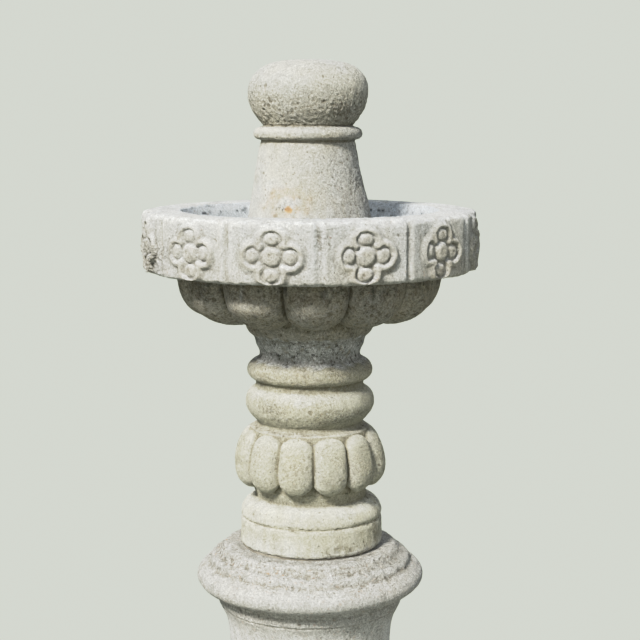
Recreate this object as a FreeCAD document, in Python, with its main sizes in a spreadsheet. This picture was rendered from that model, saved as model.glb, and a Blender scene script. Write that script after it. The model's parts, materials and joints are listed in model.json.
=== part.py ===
# Baptismal font in five cast-stone pieces: square plinth, moulded pedestal, gadrooned stem,
# twelve-sided basin with rosettes, and a hollow finial that stands over the standing waste.
# Units are millimetres, +Z is up, the origin is the middle of the plinth's underside.
import FreeCAD, Part
import os
from math import sin, cos, pi, radians, sqrt, tan

import Sketcher

V = FreeCAD.Vector
doc = FreeCAD.newDocument("font")
sheet = doc.addObject("Spreadsheet::Sheet", "Dims")
row = [0]
VAL = {}


def cell(alias, value, note=""):
    """One driving dimension: value in column B under its alias, its meaning in column A."""
    row[0] += 1
    sheet.set("A%d" % row[0], note or alias)
    sheet.set("B%d" % row[0], "%.4f" % value)
    sheet.setAlias("B%d" % row[0], alias)
    VAL[alias] = value
    return alias


def dim(alias):
    return VAL[alias]


def bind(obj, **props):
    for prop, expr in props.items():
        obj.setExpression(prop.replace("__", "."), expr)
    return obj


def ref(alias):
    return "Dims." + alias


# ---- driving dimensions ------------------------------------------------------------------
cell("plinth_side", 352.0, "square plinth, side")
cell("plinth_height", 60.0, "square plinth, height")
cell("plinth_hole", 50.0, "pipe hole in the plinth, radius")
cell("plinth_chamfer", 8.0, "worn arris of the plinth")
cell("bed_plinth", 4.0, "mortar bed on the plinth")
cell("bed_stem", 3.0, "mortar bed under the stem")
cell("bed_basin", 3.0, "mortar bed under the basin")
cell("pedestal_top", 438.5, "top of the pedestal above the floor")
cell("pedestal_core", 50.0, "hollow of the pedestal, radius")
cell("pedestal_web", 392.0, "underside of the cap web above the floor")
cell("pedestal_neck", 34.0, "pipe hole through the cap web, radius")
cell("stem_bottom", 441.5, "underside of the stem")
cell("stem_top", 718.0, "top of the stem")
cell("stem_bore", 30.0, "bore of the stem, radius")
cell("basin_bottom", 721.0, "underside of the basin boss")
cell("rim_top", 900.0, "rim of the basin above the floor")
cell("rim_bottom", 818.5, "lower edge of the twelve-sided rim")
cell("rim_radius", 229.0, "twelve-sided rim, radius over its corners")
cell("rim_chamfer", 5.0, "rounded arris of the rim")
cell("cove_radius", 9.0, "cove between two faces of the rim, radius")
cell("cove_centre", 229.5, "cove centre from the axis")
cell("floor_z", 815.0, "floor of the basin")
cell("flange_recess", 37.5, "recess for the waste flange, radius")
cell("flange_recess_z", 807.0, "bottom of the recess for the waste flange")
cell("waste_hole", 24.0, "hole for the waste body, radius")
cell("nut_recess", 43.0, "recess for the backnut, radius")
cell("nut_recess_z", 770.0, "ceiling of the recess for the backnut")
cell("dowel_radius", 6.0, "steel dowel, radius")
cell("dowel_slack", 0.4, "grout gap round a dowel")
cell("dowel_half", 28.0, "half of a dowel's length")
cell("ped_dowel_r", 92.0, "pedestal dowels from the axis")
cell("stem_dowel_r", 64.0, "stem dowels from the axis")
cell("basin_dowel_r", 57.0, "basin dowels from the axis")
cell("pin_radius", 5.0, "locating pin of the finial, radius")
cell("pin_slack", 0.6, "gap round a locating pin in the finial")
cell("pin_r", 72.0, "locating pins from the axis")
cell("pin_bottom", 795.0, "foot of a locating pin")
cell("pin_top", 836.0, "head of a locating pin")
cell("finial_foot", 818.0, "underside of the finial")
cell("pad_radius", 10.0, "lead pad, radius")
cell("pad_height", 3.0, "lead pad, thickness")
cell("notch_width", 26.0, "water notch in the finial's foot, width")
cell("notch_height", 14.0, "water notch in the finial's foot, height")
cell("pipe_radius", 17.5, "waste pipe, outer radius")
cell("pipe_inside", 16.0, "waste pipe, inner radius")
cell("pipe_foot", 6.0, "lower end of the waste pipe")
cell("pipe_head", 737.5, "upper end of the waste pipe")
cell("spigot_top", 51.0, "top of the plain spigot at the foot of the pipe")
cell("barrel_radius", 22.0, "waste body barrel, radius")
cell("barrel_bore", 17.5, "waste body bore, radius")
cell("barrel_end", 738.0, "lower end of the waste body")
cell("flange_radius", 36.0, "waste body flange, radius")
cell("flange_top", 814.0, "top of the waste flange")
cell("flange_under", 809.0, "underside of the waste flange")
cell("seat_radius", 24.0, "mouth of the tapered plug seat, radius")
cell("seat_z", 802.0, "bottom of the tapered plug seat")
cell("thread_gap", 0.2, "gap at a thread")
cell("backnut_af", 60.0, "backnut across flats")
cell("backnut_height", 12.0, "backnut, height")
cell("washer_height", 2.0, "fibre washer, thickness")
cell("coupling_af", 54.0, "coupling nut across flats")
cell("coupling_bottom", 724.0, "lower face of the coupling nut")
cell("coupling_top", 750.0, "upper face of the coupling nut")
cell("olive_bottom", 731.5, "lower face of the compression ring")
cell("tube_radius", 16.0, "standing tube, outer radius")
cell("tube_inside", 14.0, "standing tube, inner radius")
cell("tube_foot", 806.0, "lower end of the standing tube")
cell("water_level", 884.0, "lip of the standing tube, where water spills over")
cell("plug_foot", 794.0, "lower end of the plug")
cell("plug_flange", 26.0, "flange of the plug, radius")
cell("plug_flange_top", 818.0, "top of the plug's flange")
cell("plug_socket", 19.0, "socket of the plug, outer radius")
cell("plug_top", 828.0, "top of the plug's socket")
cell("cap_radius", 19.0, "strainer cap, outer radius")
cell("cap_foot", 866.0, "lower edge of the strainer cap")
cell("cap_flange", 27.0, "flange of the strainer cap, radius")
cell("cap_flange_z", 888.0, "underside of the flange of the strainer cap")
cell("cap_top", 899.0, "top of the strainer cap")
cell("bail_z", 893.0, "height of the lift ring's pivots")
cell("bail_wire", 2.0, "wire of the lift ring, radius")
cell("bail_half", 22.5, "half of the lift ring's width, to the middle of the wire")
cell("bail_reach", 30.0, "reach of the lift ring from its pivots")
cell("spider_z", 225.0, "underside of the pipe spider")
cell("spider_height", 20.0, "pipe spider, height")
cell("rosette_relief", 5.0, "relief of a rosette")
cell("rosette_bed", 1.5, "relief of the rosette's sunk bed")
cell("rosette_lobe", 18.5, "outer radius of a rosette lobe")
cell("rosette_side", 20.0, "side lobes from the rosette's middle")
cell("rosette_rise", 16.5, "upper and lower lobes from the rosette's middle")
cell("rosette_rib", 5.0, "width of the rosette's raised border")
cell("button_radius", 10.5, "middle button of a rosette, radius")
cell("petal_radius", 8.5, "petal of a rosette, radius")
cell("lobe_count", 12.0, "gadroons round the bowl and round the stem")

# moulding profiles, as pairs of radius and height, from bottom to top unless noted
FINIAL = [(93, 818), (92, 835), (90, 852), (88, 868), (85, 882), (82, 893), (79, 908), (76.5, 920), (74, 932),
          (71.5, 945), (69, 958), (67, 970), (65, 980), (63, 990), (67, 992.5), (71, 995), (73, 999.5),
          (72.3, 1003.5), (68, 1008), (61, 1010.5), (65, 1018), (70, 1024), (75, 1032), (78.5, 1042),
          (80, 1052), (80, 1062), (77, 1073), (70, 1084), (58, 1092.5), (40, 1097.5), (20, 1099.5)]
FINIAL_TOP = 1100.0
CAVITY = [(36, 965), (41, 940), (46, 900), (50, 850), (52, 818)]
CAVITY_TOP = (25, 974)
DISH = [(100, 815), (118, 817), (135, 823), (149, 834), (158, 848), (165, 868), (169, 886), (172, 900)]
BOSS = [(76, 721), (77, 727), (81, 732), (88, 739), (91, 747), (92, 757)]
STEM_LOW = [(97, 441.5), (97, 479), (95.8, 480), (96.9, 481), (96.8, 486), (95, 492.5), (91.5, 498), (86, 502),
            (80, 505), (75, 507), (76, 513), (78, 520)]
STEM_HIGH = [(73, 600), (71, 609), (73, 613), (80.5, 621), (86, 629), (88, 638), (86.5, 647), (82, 654), (76, 658),
             (73, 661), (73.5, 668), (79, 670.5), (84, 676), (85.3, 683), (83.5, 689), (78, 694.5), (72, 698),
             (68.5, 703), (70, 712), (74, 718)]
PEDESTAL = [(160, 64), (160, 90), (152, 93), (160, 99), (163.5, 108), (163.5, 117), (160, 126), (152, 133),
            (134, 136), (126, 141), (123.5, 149), (125, 157), (129, 160), (129, 167), (118, 170), (116, 176),
            (114, 205), (112.5, 250), (111.2, 298), (112.4, 316), (114.2, 327), (116.8, 338), (121, 347),
            (124.8, 353), (124.2, 355.5), (126.2, 357), (126.2, 367), (129, 373), (134, 378.5), (139, 380),
            (146, 381.5), (152, 386), (155.5, 392),
            (155.5, 398), (151, 406), (144, 411), (138, 412.5), (138.5, 416), (136, 421.5), (130, 426),
            (123, 428), (122, 436.5), (118, 438.5)]
# crest radius of the gadroons at a height; the valley radius is a share of it
BOWL_LOBES = [(92, 752.5), (100, 752), (114, 753), (127, 754.5), (138, 757), (148, 760), (157, 765), (165, 771), (170, 779),
              (174.5, 788), (178, 803), (181, 824)]
BULB_LOBES = [(76, 517), (82, 519), (88, 521.5), (95, 527.5), (100.5, 534), (104, 546), (104, 555), (102, 567), (98, 580),
              (91, 592), (82, 600), (74, 606)]
cell("bowl_valley", 0.915, "valley radius of the bowl's gadroons, share of the crest")
cell("bulb_valley", 0.885, "valley radius of the stem's gadroons, share of the crest")
for tag, table in (("fin", FINIAL), ("cav", CAVITY), ("dish", DISH), ("boss", BOSS), ("stl", STEM_LOW),
                   ("sth", STEM_HIGH), ("ped", PEDESTAL), ("bowl", BOWL_LOBES), ("bulb", BULB_LOBES)):
    for n, (rad, hgt) in enumerate(table):
        cell("%s_rad_%s" % (tag, chr(97 + n // 10) + str(n % 10) + "q"), rad, "%s profile, radius %d" % (tag, n))
        cell("%s_hgt_%s" % (tag, chr(97 + n // 10) + str(n % 10) + "q"), hgt, "%s profile, height %d" % (tag, n))
cell("finial_top", FINIAL_TOP, "top of the finial")
cell("cavity_top_r", CAVITY_TOP[0], "ceiling of the finial's hollow, radius")
cell("cavity_top_z", CAVITY_TOP[1], "ceiling of the finial's hollow, height")
doc.recompute()


def table_points(tag, table):
    """The profile's points as (radius alias, height alias)."""
    out = []
    for n in range(len(table)):
        k = chr(97 + n // 10) + str(n % 10) + "q"
        out.append(("%s_rad_%s" % (tag, k), "%s_hgt_%s" % (tag, k)))
    return out


def number(x):
    return dim(x) if isinstance(x, str) else float(x)


def revolved(name, points):
    """A body turned from a closed profile. A point is (radius, height), each an alias or a number."""
    body = doc.addObject("PartDesign::Body", name)
    plane = [f for f in body.Origin.OriginFeatures if f.Role == "XZ_Plane"][0]
    sk = body.newObject("Sketcher::SketchObject", name + "_profile")
    sk.AttachmentSupport = [(plane, "")]
    sk.MapMode = "FlatFace"
    num = [(number(a), number(b)) for a, b in points]
    n = len(num)
    geo = [Part.LineSegment(V(num[i][0], num[i][1], 0), V(num[(i + 1) % n][0], num[(i + 1) % n][1], 0)) for i in range(n)]
    sk.addGeometry(geo, False)
    cons = [Sketcher.Constraint("Coincident", i, 2, (i + 1) % n, 1) for i in range(n)]
    named = []
    for i, (a, b) in enumerate(points):
        if num[i][0] == 0:
            cons.append(Sketcher.Constraint("PointOnObject", i, 1, -2))
        else:
            cons.append(Sketcher.Constraint("DistanceX", -1, 1, i, 1, num[i][0]))
            if isinstance(a, str):
                named.append((len(cons) - 1, a))
        if num[i][1] == 0:
            cons.append(Sketcher.Constraint("PointOnObject", i, 1, -1))
        else:
            cons.append(Sketcher.Constraint("DistanceY", -1, 1, i, 1, num[i][1]))
            if isinstance(b, str):
                named.append((len(cons) - 1, b))
    sk.addConstraint(cons)
    for k, alias in named:
        sk.setExpression("Constraints[%d]" % k, ref(alias))
    rev = body.newObject("PartDesign::Revolution", name + "_turned")
    rev.Profile = sk
    rev.ReferenceAxis = (sk, ["V_Axis"])
    rev.Angle = 360.0
    body.Tip = rev
    return body


def cylinder(name, radius, height, x="0", y="0", z="0"):
    o = doc.addObject("Part::Cylinder", name)
    bind(o, Radius=radius, Height=height)
    bind(o, Placement__Base__x=x, Placement__Base__y=y, Placement__Base__z=z)
    return o


def ring(name, outer, inner, bottom, top):
    """A plain ring between two radii and two heights, turned from its four corners."""
    return revolved(name, [(inner, bottom), (outer, bottom), (outer, top), (inner, top)])


def fuse(name, parts):
    o = doc.addObject("Part::MultiFuse", name)
    o.Shapes = parts
    return o


def cut(name, base, tools):
    o = doc.addObject("Part::Cut", name)
    o.Base = base
    o.Tool = tools[0] if len(tools) == 1 else fuse(name + "_tools", tools)
    return o


def round_points(count, radius_alias, offset=0.0):
    """Places on a circle as expressions, one per dowel or pad."""
    out = []
    for i in range(count):
        a = 360.0 * i / count + offset
        out.append(("%s * cos(%.4f deg)" % (ref(radius_alias), a), "%s * sin(%.4f deg)" % (ref(radius_alias), a)))
    return out


def dowels(name, places, middle, extra=""):
    """Cylinders of the dowels' size at places, middle is the height of their middles. extra widens a socket."""
    out = []
    for i, (x, y) in enumerate(places):
        rad = ref("dowel_radius") + ((" + " + ref("dowel_slack")) if extra else "")
        half = ref("dowel_half") + ((" + " + ref("dowel_slack")) if extra else "")
        out.append(cylinder("%s_%d" % (name, i + 1), rad, "2 * (%s)" % half, x, y, "%s - (%s)" % (middle, half)))
    return out


def lobed(name, tag, table, share, first):
    """A solid of stacked twelve-lobed sections: one arc per gadroon, from valley over crest to valley."""
    count = int(dim("lobe_count"))
    wires = []
    for a, b in table_points(tag, table):
        rad, z = dim(a), dim(b)
        low = rad * dim(share)
        edges = []
        for k in range(count):
            t0 = radians(first + 360.0 / count * (k - 0.5))
            t1 = radians(first + 360.0 / count * k)
            t2 = radians(first + 360.0 / count * (k + 0.5))
            edges.append(Part.Arc(V(low * cos(t0), low * sin(t0), z), V(rad * cos(t1), rad * sin(t1), z),
                                  V(low * cos(t2), low * sin(t2), z)).toShape())
        wires.append(Part.Wire(edges))
    o = doc.addObject("Part::Feature", name)
    o.Shape = Part.makeLoft(wires, True, True)
    return o


def hexagon(name, across, bottom, top):
    o = doc.addObject("Part::Prism", name)
    o.Polygon = 6
    bind(o, Circumradius="%s / 2 / cos(30 deg)" % ref(across), Height="(%s) - (%s)" % (top, bottom))
    bind(o, Placement__Base__z=bottom)
    return o


nodes = {}

# ---- plinth: square slab with worn arrises and a hole for the pipe -------------------------
slab = doc.addObject("Part::Box", "plinth_slab")
bind(slab, Length=ref("plinth_side"), Width=ref("plinth_side"), Height=ref("plinth_height"))
bind(slab, Placement__Base__x="-%s / 2" % ref("plinth_side"), Placement__Base__y="-%s / 2" % ref("plinth_side"))
doc.recompute()
worn = doc.addObject("Part::Chamfer", "plinth_worn")
worn.Base = slab
top_edges = []
for i, e in enumerate(slab.Shape.Edges):
    zs = [v.Point.z for v in e.Vertexes]
    if min(zs) > 1:
        top_edges.append((i + 1, dim("plinth_chamfer"), dim("plinth_chamfer")))
worn.Edges = top_edges
plinth_hole = cylinder("plinth_pipe_hole", ref("plinth_hole"), "%s + 20" % ref("plinth_height"), z="-10")
ped_places = round_points(3, "ped_dowel_r", 30.0)
ped_mid = "%s + %s / 2" % (ref("plinth_height"), ref("bed_plinth"))
nodes["plinth"] = cut("plinth_cut", worn, [plinth_hole] + dowels("plinth_socket", ped_places, ped_mid, "wide"))

# ---- pedestal: hollow casting with base moulding, shaft and moulded cap --------------------
ped_points = table_points("ped", PEDESTAL)
ped_body = revolved("pedestal_turned", [("pedestal_core", 64.0)] + ped_points + [("pedestal_neck", "pedestal_top"),
                    ("pedestal_neck", "pedestal_web"), ("pedestal_core", 384.0)])
stem_places = round_points(3, "stem_dowel_r", 90.0)
stem_mid = "%s + %s / 2" % (ref("pedestal_top"), ref("bed_stem"))
nodes["pedestal"] = cut("pedestal_cut", ped_body, dowels("ped_socket_low", ped_places, ped_mid, "wide")
                        + dowels("ped_socket_high", stem_places, stem_mid, "wide"))

# ---- mortar beds, raked back a little from the faces ---------------------------------------
cell("bed_plinth_r", 154.0, "mortar bed on the plinth, radius")
cell("bed_stem_r", 93.0, "mortar bed under the stem, radius")
cell("bed_basin_r", 72.0, "mortar bed under the basin, radius")
cell("bed_bottom_top", 64.0, "top of the mortar bed on the plinth")
doc.recompute()
places_bed = {"plinth_bed": (ped_places, ped_mid), "stem_bed": (stem_places, stem_mid)}
raw = ring("plinth_bed_ring", "bed_plinth_r", "pedestal_core", "plinth_height", "bed_bottom_top")
nodes["plinth_bed"] = cut("plinth_bed_cut", raw, dowels("plinth_bed_socket", ped_places, ped_mid, "wide"))
raw = ring("stem_bed_ring", "bed_stem_r", "pedestal_neck", "pedestal_top", "stem_bottom")
nodes["stem_bed"] = cut("stem_bed_cut", raw, dowels("stem_bed_socket", stem_places, stem_mid, "wide"))
basin_places = round_points(3, "basin_dowel_r", 30.0)
basin_mid = "%s + %s / 2" % (ref("stem_top"), ref("bed_basin"))
raw = ring("basin_bed_ring", "bed_basin_r", "nut_recess", "stem_top", "basin_bottom")
nodes["basin_bed"] = cut("basin_bed_cut", raw, dowels("basin_bed_socket", basin_places, basin_mid, "wide"))

# ---- stem: foot, gadrooned bulb, two beads and a neck, with a bore for the pipe ------------
core = revolved("stem_turned", [("stem_bore", "stem_bottom")] + table_points("stl", STEM_LOW)
                + table_points("sth", STEM_HIGH) + [("stem_bore", "stem_top")])
bulb = lobed("stem_gadroons", "bulb", BULB_LOBES, "bulb_valley", 0.0)
stem_raw = fuse("stem_raw", [core, bulb])
bore = cylinder("stem_bore_tool", ref("stem_bore"), "%s - %s + 20" % (ref("stem_top"), ref("stem_bottom")),
                z="%s - 10" % ref("stem_bottom"))
nodes["stem"] = cut("stem_cut", stem_raw, [bore] + dowels("stem_socket_low", stem_places, stem_mid, "wide")
                    + dowels("stem_socket_high", basin_places, basin_mid, "wide"))

# ---- basin: twelve-sided rim with rosettes, gadrooned bowl, boss, dish, waste hole ---------
rim = doc.addObject("Part::Prism", "rim_prism")
rim.Polygon = 12
bind(rim, Circumradius=ref("rim_radius"), Height="%s - %s" % (ref("rim_top"), ref("rim_bottom")))
rim.Placement = FreeCAD.Placement(V(0, 0, 0), FreeCAD.Rotation(V(0, 0, 1), 15))
bind(rim, Placement__Base__z=ref("rim_bottom"))
doc.recompute()
rim_soft = doc.addObject("Part::Chamfer", "rim_soft")
rim_soft.Base = rim
flat = []
for i, e in enumerate(rim.Shape.Edges):
    zs = [v.Point.z for v in e.Vertexes]
    if abs(zs[0] - zs[1]) < 0.01:
        flat.append((i + 1, dim("rim_chamfer"), dim("rim_chamfer")))
rim_soft.Edges = flat
coves = []
for k in range(12):
    a = 15 + 30 * k
    coves.append(cylinder("cove_%d" % (k + 1), ref("cove_radius"), "%s - %s + 20" % (ref("rim_top"), ref("rim_bottom")),
                          "(%s + 4) * cos(%d deg)" % (ref("cove_centre"), a), "(%s + 4) * sin(%d deg)" % (ref("cove_centre"), a),
                          "%s - 10" % ref("rim_bottom")))
rim_cut = cut("rim_coved", rim_soft, coves)


def rosette_set():
    """Twelve quatrefoil rosettes: a raised border round a shallow bed with four petals and a button."""
    flat_r = dim("rim_radius") * cos(radians(15))
    mid = (dim("rim_top") + dim("rim_bottom")) / 2 - 2.0
    side, rise, lobe, rib = dim("rosette_side"), dim("rosette_rise"), dim("rosette_lobe"), dim("rosette_rib")
    relief, bed = dim("rosette_relief"), dim("rosette_bed")
    X = V(1, 0, 0)

    def disc(y, z, rad, h):
        return Part.makeCylinder(rad, h + 4, V(flat_r - 4, y, mid + z), X)

    spots = [(side, 0), (-side, 0), (0, rise), (0, -rise)]
    outer = disc(0, 0, lobe * 0.75, relief).multiFuse([disc(y, z, lobe, relief) for y, z in spots])
    inner = disc(0, 0, lobe * 0.75 - rib, relief + 2).multiFuse([disc(y, z, lobe - rib, relief + 2) for y, z in spots])
    border = outer.cut(inner)
    base = disc(0, 0, lobe * 0.75, bed).multiFuse([disc(y, z, lobe - 0.5, bed) for y, z in spots])
    heads = [disc(0, 0, dim("button_radius"), relief)]
    for y, z in spots:
        s = 1.12
        heads.append(disc(y * s, z * s, dim("petal_radius"), relief - 0.8))
    one = border.multiFuse([base] + heads).removeSplitter()
    all_of = []
    for k in range(12):
        c = one.copy()
        c.rotate(V(0, 0, 0), V(0, 0, 1), 30 * k)
        all_of.append(c)
    o = doc.addObject("Part::Feature", "rosettes")
    o.Shape = Part.makeCompound(all_of)
    return o


rosettes = rosette_set()
bowl = lobed("bowl_gadroons", "bowl", BOWL_LOBES, "bowl_valley", 15.0)
boss = revolved("basin_boss", [(0.0, "basin_bottom")] + table_points("boss", BOSS) + [(92.0, 775.0), (0.0, 775.0)])
basin_raw = fuse("basin_raw", [rim_cut, bowl, boss, rosettes])
dish = revolved("basin_dish", [(0.0, "floor_z")] + table_points("dish", DISH) + [(172.6, 905.0), (0.0, 905.0)])
recess = cylinder("flange_recess_tool", ref("flange_recess"), "20", z=ref("flange_recess_z"))
hole = cylinder("waste_hole_tool", ref("waste_hole"), "80", z="750")
nut_room = cylinder("nut_recess_tool", ref("nut_recess"), "%s - 700" % ref("nut_recess_z"), z="700")
pin_places = [(ref("pin_r"), "0"), ("-%s" % ref("pin_r"), "0")]
pin_holes = [cylinder("basin_pin_hole_%d" % i, ref("pin_radius") + " + 0.1", "40", x, y, ref("pin_bottom"))
             for i, (x, y) in enumerate(pin_places)]
nodes["basin"] = cut("basin_cut", basin_raw, [dish, recess, hole, nut_room] + pin_holes
                     + dowels("basin_socket", basin_places, basin_mid, "wide"))

# ---- steel dowels across the three beds ------------------------------------------------------
for name, places, middle in (("pedestal_dowels", ped_places, ped_mid), ("stem_dowels", stem_places, stem_mid),
                             ("basin_dowels", basin_places, basin_mid)):
    group = doc.addObject("Part::Compound", name + "_group")
    group.Links = dowels(name + "_rod", places, middle)
    nodes[name] = group

# ---- finial: hollow post with collar and bun, notched foot, two pin holes --------------------
fin = revolved("finial_turned", [(0.0, "cavity_top_z"), ("cavity_top_r", "cavity_top_z")] + table_points("cav", CAVITY)
               + table_points("fin", FINIAL) + [(0.0, "finial_top")])
notches = []
for k in range(4):
    a = 45 + 90 * k
    nb = doc.addObject("Part::Box", "notch_%d" % (k + 1))
    bind(nb, Length="120", Width=ref("notch_width"), Height="%s + 5" % ref("notch_height"))
    nb.Placement = FreeCAD.Placement(V(0, 0, 0), FreeCAD.Rotation(V(0, 0, 1), a))
    bind(nb, Placement__Base__x="%s / 2 * sin(%d deg)" % (ref("notch_width"), a),
         Placement__Base__y="-%s / 2 * cos(%d deg)" % (ref("notch_width"), a), Placement__Base__z="%s - 5" % ref("finial_foot"))
    notches.append(nb)
fin_holes = [cylinder("finial_pin_hole_%d" % i, "%s + %s" % (ref("pin_radius"), ref("pin_slack")),
                      "%s - %s + 4 + %s" % (ref("pin_top"), ref("finial_foot"), ref("pin_slack")), x, y, "%s - 4" % ref("finial_foot"))
             for i, (x, y) in enumerate(pin_places)]
nodes["finial"] = cut("finial_cut", fin, notches + fin_holes)
pads = doc.addObject("Part::Compound", "finial_pads_group")
pads.Links = [cylinder("pad_%d" % i, ref("pad_radius"), ref("pad_height"), "%s * cos(%d deg)" % (ref("pin_r"), a),
                       "%s * sin(%d deg)" % (ref("pin_r"), a), ref("floor_z")) for i, a in enumerate((21, 90, 159, 201, 270, 339))]
nodes["finial_pads"] = pads
pins = doc.addObject("Part::Compound", "finial_pins_group")
pins.Links = [cylinder("pin_%d" % i, ref("pin_radius"), "%s - %s" % (ref("pin_top"), ref("pin_bottom")), x, y, ref("pin_bottom"))
              for i, (x, y) in enumerate(pin_places)]
nodes["finial_pins"] = pins

# ---- waste fitting, clamped through the floor of the basin -----------------------------------
nodes["waste_body"] = revolved("waste_body_turned", [("barrel_bore", "barrel_end"), ("barrel_radius", "barrel_end"),
                               ("barrel_radius", "flange_under"), ("flange_radius", "flange_under"), ("flange_radius", 812.5),
                               (34.5, "flange_top"), ("seat_radius", "flange_top"), ("barrel_bore", "seat_z")])
nodes["waste_gasket"] = ring("waste_gasket_ring", 35.5, 22.5, "flange_recess_z", "flange_under")
nodes["fibre_washer"] = ring("fibre_washer_ring", 36.0, 22.5, 768.0, "nut_recess_z")
nut = hexagon("backnut_blank", "backnut_af", "%s - 2 - %s" % (ref("nut_recess_z"), ref("backnut_height")), "%s - 2" % ref("nut_recess_z"))
nut_bore = cylinder("backnut_bore", "%s + %s" % (ref("barrel_radius"), ref("thread_gap")), "40", z="740")
nodes["backnut"] = cut("backnut_cut", nut, [nut_bore])
cnut = hexagon("coupling_blank", "coupling_af", ref("coupling_bottom"), ref("coupling_top"))
c1 = cylinder("coupling_bore", "%s + %s" % (ref("barrel_radius"), ref("thread_gap")), "40", z="731")
c2 = cylinder("coupling_lip", "%s + 0.4" % ref("pipe_radius"), "40", z="715")
nodes["coupling_nut"] = cut("coupling_cut", cnut, [c1, c2])
nodes["compression_ring"] = revolved("compression_ring_turned", [(17.7, "olive_bottom"), (20.6, "olive_bottom"), (21.8, 733.5),
                                     (21.8, 735.5), (20.6, "pipe_head"), (17.7, "pipe_head")])
# the pipe's lower end is a plain spigot for the drain's socket, ended by a rolled bead
nodes["waste_pipe"] = revolved("waste_pipe_turned", [("pipe_inside", "pipe_foot"), ("pipe_radius", "pipe_foot"),
                               ("pipe_radius", "spigot_top"), (18.7, 52.0), (18.7, 54.0), ("pipe_radius", 55.0),
                               ("pipe_radius", "pipe_head"), ("pipe_inside", "pipe_head")])

# spider that keeps the pipe in the middle of the pedestal's hollow
cell("spider_top", dim("spider_z") + dim("spider_height"), "top of the pipe spider")
doc.recompute()
hub = ring("spider_hub", 21.5, 17.8, "spider_z", "spider_top")
legs = []
for k in range(3):
    a = 120 * k
    lg = doc.addObject("Part::Box", "spider_leg_%d" % (k + 1))
    bind(lg, Length="29", Width="4", Height=ref("spider_height"))
    lg.Placement = FreeCAD.Placement(V(0, 0, 0), FreeCAD.Rotation(V(0, 0, 1), a))
    bind(lg, Placement__Base__x="20.5 * cos(%d deg) + 2 * sin(%d deg)" % (a, a),
         Placement__Base__y="20.5 * sin(%d deg) - 2 * cos(%d deg)" % (a, a), Placement__Base__z=ref("spider_z"))
    legs.append(lg)
nodes["pipe_spider"] = fuse("spider_raw", [hub] + legs)

# ---- standing waste: plug, seal, overflow tube, strainer cap and lift ring -------------------
nodes["waste_plug"] = revolved("waste_plug_turned", [(13.0, "plug_foot"), (16.9, "plug_foot"), (16.9, 796.5), (15.2, 796.5),
                               (15.2, 800.0), (16.9, 800.0), (16.9, "seat_z"), (22.8, 813.0), (22.8, "flange_top"),
                               ("plug_flange", "flange_top"), ("plug_flange", 816.5), (24.8, "plug_flange_top"),
                               ("plug_socket", "plug_flange_top"), ("plug_socket", "plug_top"), (16.1, "plug_top"),
                               (16.1, "tube_foot"), (13.0, "tube_foot")])
nodes["plug_seal"] = ring("plug_seal_ring", 17.3, 15.3, 796.7, 799.8)
nodes["standing_tube"] = ring("standing_tube_ring", "tube_radius", "tube_inside", "tube_foot", "water_level")
cap_raw = revolved("cap_turned", [(16.1, "cap_foot"), ("cap_radius", "cap_foot"), ("cap_radius", 896.5),
                   (16.5, "cap_top"), (0.0, "cap_top"), (0.0, 896.0), (16.1, 896.0)])
slots = []
for k in range(6):
    a = 60 * k
    sb = doc.addObject("Part::Box", "cap_slot_%d" % (k + 1))
    bind(sb, Length="14", Width="7", Height="9")
    sb.Placement = FreeCAD.Placement(V(0, 0, 0), FreeCAD.Rotation(V(0, 0, 1), a))
    bind(sb, Placement__Base__x="10 * cos(%d deg) + 3.5 * sin(%d deg)" % (a, a),
         Placement__Base__y="10 * sin(%d deg) - 3.5 * cos(%d deg)" % (a, a), Placement__Base__z="876.5")
    slots.append(sb)
pivot = doc.addObject("Part::Cylinder", "cap_pivot_hole")
bind(pivot, Radius="%s + 0.1" % ref("bail_wire"), Height="60")
pivot.Placement = FreeCAD.Placement(V(-30, 0, dim("bail_z")), FreeCAD.Rotation(V(0, 1, 0), 90))
bind(pivot, Placement__Base__z=ref("bail_z"))
nodes["overflow_cap"] = cut("cap_cut", cap_raw, slots + [pivot])
# flat collar soldered round the cap, which the lift ring lies on
nodes["ring_rest"] = ring("ring_rest_collar", "cap_flange", "cap_radius", "cap_flange_z", 890.4)


def bail():
    """Wire ring lying level from its two pivots towards -Y, its ends turned in through the cap's wall."""
    w, half, reach, z = dim("bail_wire"), dim("bail_half"), dim("bail_reach"), dim("bail_z")
    x_in = 16.9
    bend = 3.5
    p = [V(x_in, 0, z), V(half - bend, 0, z), V(half, -bend, z), V(half, -(reach - half), z)]
    q = [V(-v.x, v.y, v.z) for v in p]
    corner = V(half - bend * (1 - sin(pi / 4)), -bend * (1 - cos(pi / 4)), z)
    corner_l = V(-corner.x, corner.y, z)
    low = V(0, -(reach - half) - half, z)
    edges = [Part.LineSegment(p[0], p[1]).toShape(), Part.Arc(p[1], corner, p[2]).toShape(),
             Part.LineSegment(p[2], p[3]).toShape(), Part.Arc(p[3], low, q[3]).toShape(),
             Part.LineSegment(q[3], q[2]).toShape(), Part.Arc(q[2], corner_l, q[1]).toShape(),
             Part.LineSegment(q[1], q[0]).toShape()]
    spine = Part.Wire(edges)
    section = Part.Wire(Part.makeCircle(w, p[0], V(1, 0, 0)))
    o = doc.addObject("Part::Feature", "lift_ring_wire")
    o.Shape = spine.makePipeShell([section], True, True)
    return o


nodes["lift_ring"] = bail()

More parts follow.
